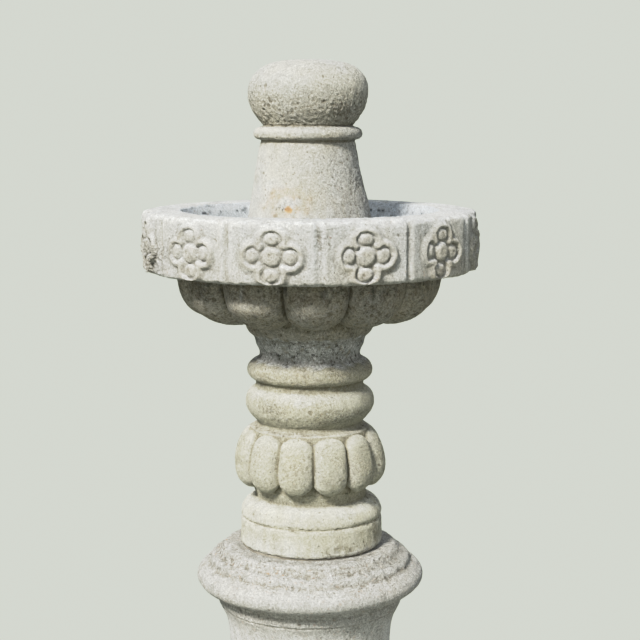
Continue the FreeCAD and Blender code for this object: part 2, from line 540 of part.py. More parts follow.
# ---- labels, checks and export ---------------------------------------------------------------
for name, obj in nodes.items():
    obj.Label = name
doc.recompute()
bad = []
for o in doc.Objects:
    if any(s in ("Invalid", "Error") for s in o.State):
        bad.append("%s (%s) is %s" % (o.Name, o.TypeId, o.State))
for name, obj in nodes.items():
    s = obj.Shape
    if s.isNull() or not s.isValid() or not s.Solids:
        bad.append("node %s has no valid solid" % name)
if bad:
    raise SystemExit("\n".join(bad))
os.makedirs("parts", exist_ok=True)
for name, obj in nodes.items():
    obj.Shape.exportStep("parts/%s.step" % name)
    b = obj.Shape.BoundBox
    print("%-18s solids %d faces %4d volume %10.1f  z %.1f to %.1f  r %.1f" % (
        name, len(obj.Shape.Solids), len(obj.Shape.Faces), obj.Shape.Volume / 1000.0, b.ZMin, b.ZMax, b.XMax))
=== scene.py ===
import json
import math
import bpy
import numpy as np
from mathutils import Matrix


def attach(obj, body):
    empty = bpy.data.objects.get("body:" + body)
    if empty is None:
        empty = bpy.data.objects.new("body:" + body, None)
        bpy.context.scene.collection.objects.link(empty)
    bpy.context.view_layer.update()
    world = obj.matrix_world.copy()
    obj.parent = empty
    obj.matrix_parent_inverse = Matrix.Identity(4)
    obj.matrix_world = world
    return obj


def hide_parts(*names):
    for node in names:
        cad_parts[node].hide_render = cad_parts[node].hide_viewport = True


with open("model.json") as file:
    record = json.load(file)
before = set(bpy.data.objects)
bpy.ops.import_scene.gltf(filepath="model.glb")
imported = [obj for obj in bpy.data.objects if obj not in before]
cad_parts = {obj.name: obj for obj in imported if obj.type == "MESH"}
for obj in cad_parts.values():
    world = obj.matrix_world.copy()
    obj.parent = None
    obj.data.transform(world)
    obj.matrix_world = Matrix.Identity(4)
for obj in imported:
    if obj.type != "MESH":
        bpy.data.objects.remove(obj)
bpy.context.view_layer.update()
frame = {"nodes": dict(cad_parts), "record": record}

MM = 0.001
AZ = math.radians(12.0)

# =============================================================================================
# camera, light and stage
# =============================================================================================
scene = bpy.context.scene
scene.view_settings.view_transform = "Standard"
scene.view_settings.look = "None"
scene.view_settings.exposure = 0.0
scene.view_settings.gamma = 1.0
# a gentle shoulder, so that sunlit stone stays near one level, as film would hold it
scene.view_settings.use_curve_mapping = True
curves = scene.view_settings.curve_mapping
shoulder = curves.curves[3]
shoulder.points[0].location = (0.0, 0.0)
shoulder.points[1].location = (1.0, 0.760)
for x, y in ((0.20, 0.205), (0.40, 0.42), (0.60, 0.59), (0.80, 0.685)):
    shoulder.points.new(x, y)
curves.update()

cam_data = bpy.data.cameras.new("camera")
cam_data.sensor_width = 36.0
cam_data.lens = 36.0 * 1486.0 / 640.0
cam_data.clip_start = 0.05
cam_data.clip_end = 200.0
cam_data.dof.use_dof = False
cam = bpy.data.objects.new("camera", cam_data)
scene.collection.objects.link(cam)
cam.location = (2.0 * math.sin(AZ), -2.0 * math.cos(AZ), 1.0355)
cam.rotation_euler = (math.radians(90.0 - 8.17), 0.0, AZ - math.radians(0.401))
scene.camera = cam


def aim(obj, at):
    from mathutils import Vector
    d = Vector(at) - obj.location
    obj.rotation_euler = d.to_track_quat("-Z", "Y").to_euler()


def area(name, azimuth, elevation, distance, size, watts, colour, at=(0, 0, 0.72)):
    """A round lamp seen from the object at azimuth (0 is -Y, positive towards +X) and elevation, in degrees."""
    a, e = math.radians(azimuth), math.radians(elevation)
    d = bpy.data.lights.new(name, "AREA")
    d.shape = "DISK"
    d.size = size
    d.energy = watts
    d.color = colour
    o = bpy.data.objects.new(name, d)
    scene.collection.objects.link(o)
    o.location = (at[0] + distance * math.sin(a) * math.cos(e), at[1] - distance * math.cos(a) * math.cos(e),
                  at[2] + distance * math.sin(e))
    aim(o, at)
    return o


area("key", -16.0, 39.4, 7.0, 1.40, 850.0, (1.0, 0.988, 0.958), at=(0, 0, 0.75))
area("back", 196.0, 30.0, 5.0, 2.2, 110.0, (0.960, 0.980, 1.0), at=(0, 0, 0.62))

world = bpy.data.worlds.new("studio")
scene.world = world
world.use_nodes = True
wn = world.node_tree
wn.nodes.clear()
BACK = (0.738, 0.797, 0.668, 1.0)
w_out = wn.nodes.new("ShaderNodeOutputWorld")
w_see = wn.nodes.new("ShaderNodeBackground")
w_see.inputs["Color"].default_value = BACK
w_lit = wn.nodes.new("ShaderNodeBackground")
w_tc = wn.nodes.new("ShaderNodeTexCoord")
w_sp = wn.nodes.new("ShaderNodeSeparateXYZ")
w_rm = wn.nodes.new("ShaderNodeMapRange")
w_rm.inputs["From Min"].default_value = -0.3
w_rm.inputs["From Max"].default_value = 0.8
w_mx = wn.nodes.new("ShaderNodeMix")
w_mx.data_type = "RGBA"
w_mx.inputs[6].default_value = (0.730, 0.690, 0.600, 1.0)
w_mx.inputs[7].default_value = (0.560, 0.640, 0.760, 1.0)
w_lp = wn.nodes.new("ShaderNodeLightPath")
w_ms = wn.nodes.new("ShaderNodeMixShader")
wn.links.new(w_tc.outputs["Generated"], w_sp.inputs[0])
wn.links.new(w_sp.outputs["Z"], w_rm.inputs["Value"])
wn.links.new(w_rm.outputs["Result"], w_mx.inputs[0])
wn.links.new(w_mx.outputs[2], w_lit.inputs["Color"])
wn.links.new(w_lp.outputs["Is Camera Ray"], w_ms.inputs[0])
wn.links.new(w_lit.outputs[0], w_ms.inputs[1])
wn.links.new(w_see.outputs[0], w_ms.inputs[2])
wn.links.new(w_ms.outputs[0], w_out.inputs["Surface"])

# =============================================================================================
# noise in numpy, seeded
# =============================================================================================


def _table(seed):
    rng = np.random.RandomState(seed)
    perm = rng.permutation(256)
    perm = np.concatenate([perm, perm, perm])
    g = rng.normal(size=(256, 3))
    g /= np.linalg.norm(g, axis=1)[:, None]
    return perm, g


_tables = {}


def perlin(p, seed=0):
    """Gradient noise of points (N,3), about -1 to 1."""
    if seed not in _tables:
        _tables[seed] = _table(seed)
    perm, grad = _tables[seed]
    i = np.floor(p).astype(np.int64)
    f = p - i
    i &= 255
    u = f * f * f * (f * (f * 6 - 15) + 10)
    out = 0.0
    for dx in (0, 1):
        wx = u[:, 0] if dx else 1 - u[:, 0]
        for dy in (0, 1):
            wy = u[:, 1] if dy else 1 - u[:, 1]
            for dz in (0, 1):
                wz = u[:, 2] if dz else 1 - u[:, 2]
                h = perm[perm[perm[i[:, 0] + dx & 255] + (i[:, 1] + dy & 255)] + (i[:, 2] + dz & 255)] & 255
                d = grad[h]
                dot = d[:, 0] * (f[:, 0] - dx) + d[:, 1] * (f[:, 1] - dy) + d[:, 2] * (f[:, 2] - dz)
                out = out + wx * wy * wz * dot
    return out * 1.6


def fbm(p, seed=0, octaves=3, gain=0.5):
    amp, tot, out = 1.0, 0.0, 0.0
    for k in range(octaves):
        out = out + amp * perlin(p * (2.03 ** k) + 17.3 * k, seed + k)
        tot += amp
        amp *= gain
    return out / tot


def cells(p, seed=0):
    """Distance to the nearest random point and that point's own random number, one random point per unit cell."""
    rng = np.random.RandomState(seed)
    tab = rng.random_sample((4096, 4))
    i = np.floor(p).astype(np.int64)
    best = np.full(len(p), 9.0)
    ident = np.zeros(len(p))
    for dx in (-1, 0, 1):
        for dy in (-1, 0, 1):
            for dz in (-1, 0, 1):
                c = i + np.array([dx, dy, dz])
                h = (c[:, 0] * 73856093 ^ c[:, 1] * 19349663 ^ c[:, 2] * 83492791) & 4095
                t = tab[h]
                q = c + t[:, :3]
                d = np.sqrt(((p - q) ** 2).sum(1))
                near = d < best
                best = np.where(near, d, best)
                ident = np.where(near, t[:, 3], ident)
    return best, ident


def step(a, b, x):
    t = np.clip((x - a) / (b - a), 0, 1)
    return t * t * (3 - 2 * t)


def bump1(x, c, w):
    return np.exp(-((x - c) / w) ** 2)


# =============================================================================================
# turned pieces: a closed profile swept round the axis on a fine grid, in millimetres
# =============================================================================================


def catmull(pts, spacing):
    """Points on a smooth curve through pts, about spacing apart, first and last included."""
    pts = np.asarray(pts, float)
    if len(pts) == 2:
        n = max(1, int(round(np.linalg.norm(pts[1, :2] - pts[0, :2]) / spacing)))
        t = np.linspace(0, 1, n + 1)[:, None]
        return pts[0] + (pts[1] - pts[0]) * t
    ext = np.vstack([2 * pts[0] - pts[1], pts, 2 * pts[-1] - pts[-2]])
    out = []
    for k in range(1, len(ext) - 2):
        p0, p1, p2, p3 = ext[k - 1], ext[k], ext[k + 1], ext[k + 2]
        d1 = max(np.linalg.norm((p1 - p0)[:2]), 1e-6) ** 0.5
        d2 = max(np.linalg.norm((p2 - p1)[:2]), 1e-6) ** 0.5
        d3 = max(np.linalg.norm((p3 - p2)[:2]), 1e-6) ** 0.5
        m1 = (p2 - p1) + d2 * ((p1 - p0) / d1 - (p2 - p0) / (d1 + d2))
        m2 = (p2 - p1) + d2 * ((p3 - p2) / d3 - (p3 - p1) / (d2 + d3))
        t = np.linspace(0, 1, 9)[:-1, None]
        out.append((2 * t ** 3 - 3 * t ** 2 + 1) * p1 + (t ** 3 - 2 * t ** 2 + t) * m1
                   + (-2 * t ** 3 + 3 * t ** 2) * p2 + (t ** 3 - t ** 2) * m2)
    out.append(pts[-1][None])
    fine = np.vstack(out)
    s = np.concatenate([[0], np.cumsum(np.linalg.norm(np.diff(fine[:, :2], axis=0), axis=1))])
    n = max(2, int(round(s[-1] / spacing)))
    at = np.linspace(0, s[-1], n + 1)
    return np.stack([np.interp(at, s, fine[:, k]) for k in range(fine.shape[1])], 1)


def profile(runs):
    """One closed loop from runs of (points, spacing). Each run starts where the one before ends."""
    rows = []
    for pts, spacing in runs:
        c = catmull(pts, spacing)
        rows.append(c[:-1])
    return np.vstack(rows)


def soften(a, times=1, keep=None):
    """Rounds the corners of a closed profile a little."""
    for _ in range(times):
        b = (np.roll(a, 1, 0) + 2 * a + np.roll(a, -1, 0)) / 4
        a = b if keep is None else np.where(keep[:, None], a, b)
    return a


def normals(P):
    ds = np.roll(P, -1, 0) - np.roll(P, 1, 0)
    dt = np.roll(P, -1, 1) - np.roll(P, 1, 1)
    n = np.cross(dt, ds)
    l = np.linalg.norm(n, axis=2, keepdims=True)
    return n / np.maximum(l, 1e-9)


def mesh_from(name, P, attrs=None, flip=False):
    """A closed quad mesh from a grid (rows, columns, 3) in millimetres; both directions wrap round."""
    S, T = P.shape[:2]
    me = bpy.data.meshes.new(name)
    me.vertices.add(S * T)
    me.vertices.foreach_set("co", (P.reshape(-1, 3) * MM).ravel())
    s = np.arange(S)[:, None] * T
    s2 = ((np.arange(S) + 1) % S)[:, None] * T
    t = np.arange(T)[None, :]
    t2 = ((np.arange(T) + 1) % T)[None, :]
    q = np.stack([s + t, s + t2, s2 + t2, s2 + t], -1).reshape(-1, 4)
    if flip:
        q = q[:, ::-1]
    n = len(q)
    me.loops.add(4 * n)
    me.polygons.add(n)
    me.polygons.foreach_set("loop_start", np.arange(0, 4 * n, 4))
    me.loops.foreach_set("vertex_index", q.ravel())
    me.polygons.foreach_set("use_smooth", np.ones(n, bool))
    me.update()
    me.validate()
    for key, val in (attrs or {}).items():
        a = me.attributes.new(key, "FLOAT", "POINT")
        a.data.foreach_set("value", np.asarray(val, np.float32).ravel())
    ob = bpy.data.objects.new(name, me)
    scene.collection.objects.link(ob)
    return ob


def cracks(p, seed, sharp=0.16):
    """1 in narrow winding creases, 0 elsewhere."""
    return step(sharp, 0.0, np.abs(perlin(p, seed)))


def weather(P, N, seed, edge, rough=1.0, pits=1.0, chips=1.0, zone=None):
    """Inward and outward wear of a cast-stone skin: returns the displacement in mm and the masks for its colour.
    edge is 0 to 1 where an arris is, zone scales the pits and the roughness point by point."""
    q = P.reshape(-1, 3)
    z1 = np.ones(len(q)) if zone is None else zone.ravel()
    e = edge.ravel()
    wave = 0.70 * fbm(q / 75.0, seed, 2) + 0.36 * perlin(q / 24.0, seed + 5)
    grain = 0.26 * perlin(q / 6.4, seed + 7) + 0.32 * perlin(q / 3.7, seed + 8)
    scab = step(0.10, 0.50, fbm(q / 30.0, seed + 9, 2))
    grain = grain * (0.45 + 0.35 * z1 + 0.5 * scab * z1)
    d = wave + rough * grain
    pit = np.zeros(len(q))
    warp = np.stack([perlin(q / 3.1, seed + 60), perlin(q / 3.1, seed + 61), perlin(q / 3.1, seed + 62)], 1)
    for k, (size, share, depth) in enumerate(((8.0, 0.16, 1.5), (5.4, 0.26, 1.1), (15.0, 0.07, 1.7))):
        f, ident = cells((q + 1.5 * warp) / size, seed + 20 + k)
        patch = step(-0.20, 0.50, fbm(q / 40.0, seed + 30 + k, 2))
        live = (ident < share * (0.15 + 1.7 * patch) * z1 * pits)
        radius = 0.16 + 0.26 * ((ident * 97.0) % 1.0)
        m = live * step(0.0, 0.75, np.clip(1 - f / radius, 0, 1))
        pit = np.maximum(pit, m)
        d = d - depth * m * (0.6 + 0.4 * ((ident * 31.0) % 1.0))
    crust = scab * np.clip(z1 - 0.5, 0, 1.5) * cracks(q / 5.6, seed + 70, 0.22)
    d = d - 0.75 * crust
    chip = step(0.10, 0.55, fbm(q / 15.0, seed + 41, 2)) * e * chips
    soft = step(0.0, 0.7, fbm(q / 42.0, seed + 44, 2)) * e * chips
    nib = step(0.05, 0.50, perlin(q / 5.0, seed + 47)) * np.clip(e * 1.6, 0, 1) * chips
    d = d - 2.8 * chip - 1.6 * soft - 0.8 * e - 1.2 * nib
    sh = P.shape[:2]
    return d.reshape(sh), {"pit": np.clip(pit + 0.5 * crust, 0, 1).reshape(sh), "chip": chip.reshape(sh)}


def blur(A, r):
    out = A
    for axis in (0, 1):
        acc = out.copy()
        for k in range(1, r + 1):
            acc = acc + np.roll(out, k, axis) + np.roll(out, -k, axis)
        out = acc / (2 * r + 1)
    return out


def lean(P, dx):
    """Moves each height sideways by dx mm, positive to the right of the font's front."""
    P[..., 0] += dx * math.cos(AZ)
    P[..., 1] += dx * math.sin(AZ)
    return P


def turned(profile_rows, columns):
    th = np.linspace(0, 2 * np.pi, columns, endpoint=False)
    return profile_rows[:, None, 0], profile_rows[:, None, 1], th[None, :]


def place(R, Z, th):
    """Grid of points; th is the angle from -Y towards +X."""
    R, Z = np.broadcast_arrays(R, Z)
    return np.stack([R * np.sin(th), -R * np.cos(th), Z + 0 * R], -1)


def edge_mask(prof, at, width):
    """1 at the arrises named by their (radius, height), fading over width mm along the profile."""
    m = np.zeros(len(prof))
    for (r, z, k) in at:
        d = np.hypot(prof[:, 0] - r, prof[:, 1] - z)
        m = np.maximum(m, k * np.exp(-(d / width) ** 2))
    return m


def finish_grid(name, P, seed, edge, node, body, rough=1.0, pits=1.0, chips=1.0, zone=None, extra=None, still=None, tone=None,
                radial=None):
    N = normals(P)
    # the loop may run either way round; the sign of the enclosed volume says which side is out
    flip = False
    if (P * N).sum() < 0:
        N = -N
        flip = True
    if radial is not None:
        out = P * np.array([1.0, 1.0, 0.0])
        out = out / np.maximum(np.linalg.norm(out, axis=2, keepdims=True), 1e-6)
        N = np.where(radial[..., None], out, N)
    d, masks = weather(P, N, seed, edge, rough, pits, chips, zone)
    if still is not None:
        d = d * still
    if extra is not None:
        d = d + extra(P, N)
    Q = P + N * d[..., None]
    # concavity of the finished skin, used to darken creases: partly dirt, partly painted shade in the hollows
    cav = ((blur(Q, 2) - Q) * N).sum(2)
    deep = ((blur(Q, 6) - Q) * N).sum(2)
    attrs = {"pit": masks["pit"], "chip": masks["chip"], "cav": np.clip(cav / 0.45, -1, 1),
             "deep": np.clip(deep / 2.2, -1, 1)}
    if tone is not None:
        attrs.update(tone(Q, N))
    for key, val in (("lime_and_painted_light", 0.0), ("grime_and_shade", 0.0), ("rust", 0.0), ("amp", 1.0), ("neck", 0.0), ("bluish_lime_and_sky_shade", 0.0), ("ink", 0.0), ("ochre", 0.0)):
        attrs.setdefault(key, np.full(P.shape[:2], val))
    ob = mesh_from(name, Q, attrs, flip=not flip)
    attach(ob, body)
    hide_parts(node)
    print(name, len(ob.data.polygons) * 2, "triangles")
    return ob


def spot(P, across, height, w, h, soft=0.5):
    """1 inside an oval on the front: across mm to the right of the middle line and at a height, w by h half sizes."""
    x = P[..., 0] * math.cos(AZ) + P[..., 1] * math.sin(AZ)
    front = (P[..., 0] * math.sin(AZ) - P[..., 1] * math.cos(AZ)) > 0
    q = P.reshape(-1, 3)
    n = fbm(q / (0.7 * min(w, h) + 4.0), 901, 2).reshape(P.shape[:2])
    d = np.hypot((x - across) / w, (P[..., 2] - height) / h) + 0.55 * n
    return front * step(1.0 + soft, 1.0 - soft, d)


def collar(Q):
    """How much of the grey, sheltered neck's look a point has: the same field for the three pieces that meet there."""
    q = Q.reshape(-1, 3)
    n = fbm(q / 14.0, 921, 3).reshape(Q.shape[:2])
    z = Q[..., 2] + 7.0 * n
    return step(692.0, 698.0, z) * step(734.0, 729.0, z) * (np.hypot(Q[..., 0], Q[..., 1]) < 95)


# ---------------------------------------------------------------------------------------------
# basin
# ---------------------------------------------------------------------------------------------
APOTHEM = 227.6 * math.cos(math.radians(15))


def fold(th, period, shift=0.0):
    """Angle from the middle of its own sector."""
    return (th - shift + period / 2) % period - period / 2


def rim_radius(th):
    f = fold(th, math.radians(30))
    x = APOTHEM * np.tan(f)
    half = APOTHEM * math.tan(math.radians(15))
    e = half - np.abs(x)
    r = APOTHEM / np.cos(f)
    wide = 7.6 + 1.4 * np.sin(th * 5 + 1.0)
    return r - 4.8 * np.exp(-(e / wide / 0.62) ** 2.6) - 0.9 * np.exp(-(e / 15.0) ** 2)


def rosette(x, y, k):
    """Height of the carved quatrefoil over the face, x across and y up from its middle, k the face's number."""
    rng = np.random.RandomState(100 + k)
    j = rng.normal(size=16) * 0.7
    a = math.radians(rng.normal() * 2.0)
    x, y = x * math.cos(a) + y * math.sin(a), -x * math.sin(a) + y * math.cos(a)
    pet = [(-23.2 + j[0], 0.2 + j[1], 7.6, 9.0), (22.0 + j[2], 0.4 + j[3], 8.8, 9.2),
           (-0.6 + j[4], 21.2 + j[5], 10.0, 7.4), (-0.6 + j[6], -22.0 + j[7], 10.2, 8.4)]
    nx = perlin(np.stack([x.ravel() / 7.0, y.ravel() / 7.0, np.full(x.size, 3.7 * k)], 1), 201).reshape(x.shape)
    # distance outside the union of the five hollows that hold the petals and the button
    d = np.hypot(x, y) - 14.6
    for cx, cy, ax, ay in pet:
        w = np.hypot((x - cx) / ax, (y - cy) / ay)
        w = (w - 1.0) * 0.5 * (ax + ay) - 1.9
        d = -np.log(np.exp(-d / 1.8) + np.exp(-w / 1.8)) * 1.8
    d = d + 0.7 * nx
    ang = np.arctan2(y, x)
    sharp = 0.5 + 0.5 * np.cos(ang + math.radians(50) + 0.25 * j[8])         # crisp at the lower right, worn at the upper left
    end = 8.6 + 3.4 * (1 - sharp)
    start = 5.6 * sharp + 1.2 * (1 - sharp)
    ridge = step(-0.2, 1.9, d) * step(end, start, d)
    h = (4.6 + 1.6 * sharp) * ridge * (1 + 0.22 * nx)
    h = np.maximum(h, 0.5 * step(1.2, -1.0, d))
    for i, (cx, cy, ax, ay) in enumerate(pet):
        q = ((x - cx) / ax) ** 2 + ((y - cy) / ay) ** 2
        h = np.maximum(h, (5.2 + 0.5 * j[9] + 0.9 * nx + 0.4 * j[12 + i % 3]) * np.clip(1 - (q * (1 + 0.25 * nx)) ** 2.2, 0, 1) ** 0.6)
    q = (x ** 2 + y ** 2) / (12.3 + 0.4 * j[10]) ** 2
    groove = step(1.50, 1.0, q) * (q > 1)
    h = h * (1 - 0.85 * groove)
    h = np.maximum(h, (6.2 + 0.7 * nx) * np.clip(1 - (q * (1 + 0.2 * nx)) ** 2.3, 0, 1) ** 0.6)
    return h


def lobes(u, w=0.995):
    return np.sqrt(np.clip(1 - w * np.abs(u) ** 2.1, 0, 1))


# rows: crest radius, crest height, valley radius, valley height, share of the twelve-sided rim
def row(rc, zc, rv=None, zv=None, b=0.0):
    return (rc, zc, rc if rv is None else rv, zc if zv is None else zv, b)


C = 720
basin_runs = [
    ([row(24, 807), row(24, 770)], 6.0),
    ([row(24, 770), row(43, 770)], 5.0),
    ([row(43, 770), row(43, 721)], 6.0),
    ([row(43, 721), row(73.6, 721)], 5.0),
    ([row(73.6, 721), row(74, 721)], 0.4),
    ([row(74, 721), row(74.03, 721.2)], 0.2),
    ([row(74.03, 721.2), row(74.9, 724.4), row(76.4, 728), row(79.8, 731.2), row(83.6, 735.2), row(86.4, 741), row(87.6, 747), row(88.6, 753),
      row(92.5, 759.5, 91.5, 769)], 2.2),
    ([row(92.5, 759.5, 91.5, 769), row(96.5, 755, 98, 770.5), row(104, 752.4, 106, 771), row(114, 751.4, 116, 771.5), row(127, 752.2, 126, 772.5),
      row(138, 754.6, 134, 774.5), row(148, 758.2, 141, 777.5), row(157, 763.5, 147, 782.5), row(165, 770.5, 152, 789), row(170.5, 779, 156, 796),
      row(175, 789, 159, 803), row(178, 801, 161.5, 811), row(180, 812, 163, 817), row(181, 819.5, 164, 820)], 2.1),
    ([row(181, 819.5, 164, 820), row(0, 819.5, 0, 819.5, 1)], 4.0),
    ([row(0, 819.5, 0, 819.5, 1), row(0, 900, 0, 900, 1)], 1.65),
    ([row(0, 900, 0, 900, 1), row(173, 900)], 2.6),
    ([row(173, 900), row(170.5, 893), row(168, 884), row(165, 868), row(158.5, 849), row(149, 835), row(135, 824.5), row(118, 818), row(100, 815.3)], 3.2),
    ([row(100, 815.3), row(37.5, 815)], 4.5),
    ([row(37.5, 815), row(37.5, 807)], 4.0),
    ([row(37.5, 807), row(24, 807)], 4.5),
]


def run_rows(runs):
    out, tags = [], []
    for n, (pts, sp) in enumerate(runs):
        pts = np.asarray(pts, float)
        # spacing is measured on true radii: the rim's own radius stands in for its share
        flat = pts.copy()
        r = pts[:, 0] + pts[:, 4] * 225.0
        work = np.column_stack([r, pts[:, 1], pts[:, 2] + pts[:, 4] * 225.0, pts[:, 3], pts[:, 4]])
        c = catmull(work, sp)
        out.append(c[:-1])
        tags += [n] * (len(c) - 1)
    return np.vstack(out), np.array(tags)


rows, tags = run_rows(basin_runs)
th = np.linspace(0, 2 * np.pi, C, endpoint=False)[None, :]
u_bowl = fold(th, math.radians(30), math.radians(15)) / math.radians(15)
lf = lobes(u_bowl)
rc, zc, rv, zv, bb = [rows[:, k][:, None] for k in range(5)]
R = rv + (rc - rv) * lf
Z = zv + (zc - zv) * lf
poly = rim_radius(th)
R = R + bb * (poly - 225.0)
# arrises of the rim rounded by pulling the rows near them in
top_r, low_r = 7.5, 6.0
face = tags == 9
topf = tags == 10
lowf = tags == 8
zrow = rows[:, 1]
inset = np.zeros(len(rows))
dz = np.clip(zrow - (900 - top_r), 0, top_r)
inset[face] += (top_r - np.sqrt(np.maximum(top_r ** 2 - dz[face] ** 2, 0)))
dl = np.clip((819.5 + low_r) - zrow, 0, low_r)
inset[face] += (low_r - np.sqrt(np.maximum(low_r ** 2 - dl[face] ** 2, 0)))
P = place(R - inset[:, None], Z, th)
# the top's outermost rows start where the rounded arris ends
if topf.any():
    idx = np.where(topf)[0]
    n = len(idx)
    t = np.arange(n)[:, None] / n
    r_out = poly - top_r
    Rt = r_out + (173.0 - r_out) * t
    Zt = 900 - 1.2 * np.exp(-((poly - Rt) / 9.0) ** 2) - 0.8 * step(0.55, 1.0, t) + 0 * Rt
    P[idx] = place(Rt, Zt, th)
if lowf.any():
    idx = np.where(lowf)[0]
    n = len(idx)
    t = np.arange(n)[:, None] / n
    r_in = (rv + (rc - rv) * lf)[idx[0]][None, :]
    r_out = poly - low_r
    P[idx] = place(r_in + (r_out - r_in) * t, 819.5 + 1.5 * (1 - t) * 0 + 0 * r_in, th)
# the gadroons are fullest where they face the front, as the casting came
swell = 9.5 * np.exp(-(((th + math.pi) % (2 * math.pi) - math.pi + math.radians(14)) / math.radians(36)) ** 2) * np.exp(-((P[..., 2] - 784) / 15.0) ** 2)
swell = swell * (tags == 7)[:, None] * lf ** 2
P = P + swell[..., None] * np.stack([np.sin(th) + 0 * P[..., 2], -np.cos(th) + 0 * P[..., 2], 0 * P[..., 2]], -1)
# rosettes on the twelve faces
zf = P[..., 2]
f = fold(th, math.radians(30))
xf = APOTHEM * np.tan(f) + 0 * zf
kf = np.floor((th + math.radians(15)) / math.radians(30)).astype(int) % 12 + 0 * zf.astype(int)
relief = np.zeros(P.shape[:2])
fr = np.where(face)[0]
for k in range(12):
    m = (kf[fr] == k)
    h = rosette(xf[fr], zf[fr] - 855.8, k)
    relief[fr] = np.where(m, h, relief[fr])
fade = step(819.8, 821.5, zf) * step(900.5, 896, zf)
relief = relief * fade
ang = np.round(th / math.radians(30)) * math.radians(30)
fn = np.stack([np.sin(ang) + 0 * zf, -np.cos(ang) + 0 * zf, 0 * zf], -1)
P = P + fn * relief[..., None]

edge = np.zeros(P.shape[:2])
zz = P[..., 2]
rr = np.hypot(P[..., 0], P[..., 1])
edge = np.where((face | topf)[:, None], np.exp(-((zz - 900) / 5.0) ** 2) * np.exp(-((poly - rr) / 9.0) ** 2), edge)
edge = np.where((face | lowf)[:, None], np.maximum(edge, 0.95 * np.exp(-((zz - 819.5) / 4.5) ** 2) * np.exp(-((poly - rr) / 7.0) ** 2)), edge)
inner = (tags == 10) | (tags == 11)
edge = np.where(inner[:, None], np.maximum(edge, 0.8 * np.exp(-((zz - 899) / 5.0) ** 2) * np.exp(-((rr - 173) / 6.0) ** 2)), edge)
hidden = np.isin(tags, (0, 1, 2, 3, 13, 14))
still = np.where(hidden, 0.0, 1.0)[:, None] * np.ones((1, C))
zone = np.ones(P.shape[:2])
under = (tags == 7)[:, None] & (zz < 775)
zone = np.where(under, 1.9, zone)
zone = np.where(np.isin(tags, (4, 5, 6))[:, None], 1.2, zone)
zone = np.where(face[:, None], 1.0, zone)


def basin_tone(Q, N):
    q = Q.reshape(-1, 3)
    sh = Q.shape[:2]
    z = Q[..., 2]
    r = np.hypot(Q[..., 0], Q[..., 1])
    n1 = fbm(q / 38.0, 301, 3).reshape(sh)
    n2 = fbm(q * np.array([1 / 9.0, 1 / 9.0, 1 / 60.0]), 305, 2).reshape(sh)
    n3 = fbm(q / 11.0, 309, 3).reshape(sh)
    up = np.clip(N[..., 2], 0, 1)
    lime_and_painted_light = step(0.2, 0.9, up) * (0.75 + 0.5 * n1)
    cove = np.exp(-((APOTHEM * math.tan(math.radians(15)) - np.abs(xf)) / 9.0) ** 2)
    lime_and_painted_light = lime_and_painted_light + face[:, None] * (0.45 * cove * step(-0.2, 0.3, n2) + 0.30 * step(868, 898, z) * (0.8 + n1) + 0.30 * step(2.6, 0.8, relief))
    below = (tags <= 8)[:, None] & ~hidden[:, None]
    n5 = fbm(q / 4.5, 313, 2).reshape(sh)
    grime_and_shade = below * np.clip(0.12 + 1.0 * n1 + 1.3 * n3 + 0.8 * n5, 0, 1)
    rust = below * np.clip(0.85 - 0.7 * n1 + 0.5 * n3, 0, 1)
    rust = rust + face[:, None] * (np.clip(0.55 * step(856, 824, z) + 0.6 * n1 - 0.12, 0, 1) * 0.75 + 0.45 * step(2.0, 4.2, relief) * (0.8 + n3))
    inside = np.isin(tags, (11, 12))[:, None]
    n6 = fbm(q / np.array([26.0, 26.0, 400.0]), 317, 2).reshape(sh)
    n7 = fbm(q / np.array([9.0, 9.0, 2.4]), 331, 2).reshape(sh)
    line = step(0.02, 0.20, n7 + 0.35 * n6) * np.exp(-((z - (888.2 + 4.0 * n3)) / 2.1) ** 4) * step(-0.25, 0.10, n6)
    mark = inside * line
    grime_and_shade = grime_and_shade + inside * 0.10 * step(880, 840, z) * (0.6 + n1)
    lime_and_painted_light = lime_and_painted_light + inside * 0.75 * (0.8 + n1)
    neck = collar(Q) * below
    # bluish tint of the dish: partly the lime's own cold white, partly painted sky-blue shade
    bluish_lime_and_sky_shade = inside * 0.75 + 0.06 * (tags == 10)[:, None]
    amp = np.where(below, 1.30, 0.70) + 0.25 * n1
    amp = amp + 0.6 * spot(Q, 14, 876, 9, 16) + 0.8 * spot(Q, -205, 842, 22, 22)
    soot = below * step(783, 812, z) * step(0.02, 0.34, n2 + 0.5 * n5) * (tags == 7)[:, None]
    mark = mark + 0.50 * soot + 0.35 * (tags == 7)[:, None] * step(0.16, 0.36, n5) * step(0.0, 0.3, n3)
    run = spot(Q, -86, 803, 1.6, 9, 0.3) * below
    lime_and_painted_light = lime_and_painted_light + run
    grime_and_shade = grime_and_shade * (1 - run)
    # painted shade: the top of the boss darkened where the overhanging gadroons shade it
    grime_and_shade = grime_and_shade + 0.55 * (tags == 6)[:, None] * step(742, 753, z) * np.clip(0.8 + n3, 0, 1.3)
    # painted shade: the far right face of the rim darkened as if turned away from the lamp
    far_face_painted_shade = spot(Q, 221, 862, 15, 46, 0.6)
    grime_and_shade = grime_and_shade + 0.22 * far_face_painted_shade * np.clip(0.3 + 1.2 * n3, 0, 1)
    amp = amp + 0.3 * far_face_painted_shade
    return {"lime_and_painted_light": np.clip(lime_and_painted_light, 0, 1), "grime_and_shade": np.clip(grime_and_shade * (1 - neck), 0, 1), "rust": np.clip(rust * (1 - neck), 0, 1),
            "amp": np.clip(amp, 0, 1.6), "neck": neck, "bluish_lime_and_sky_shade": bluish_lime_and_sky_shade * np.ones(sh), "ink": np.clip(mark, 0, 1)}


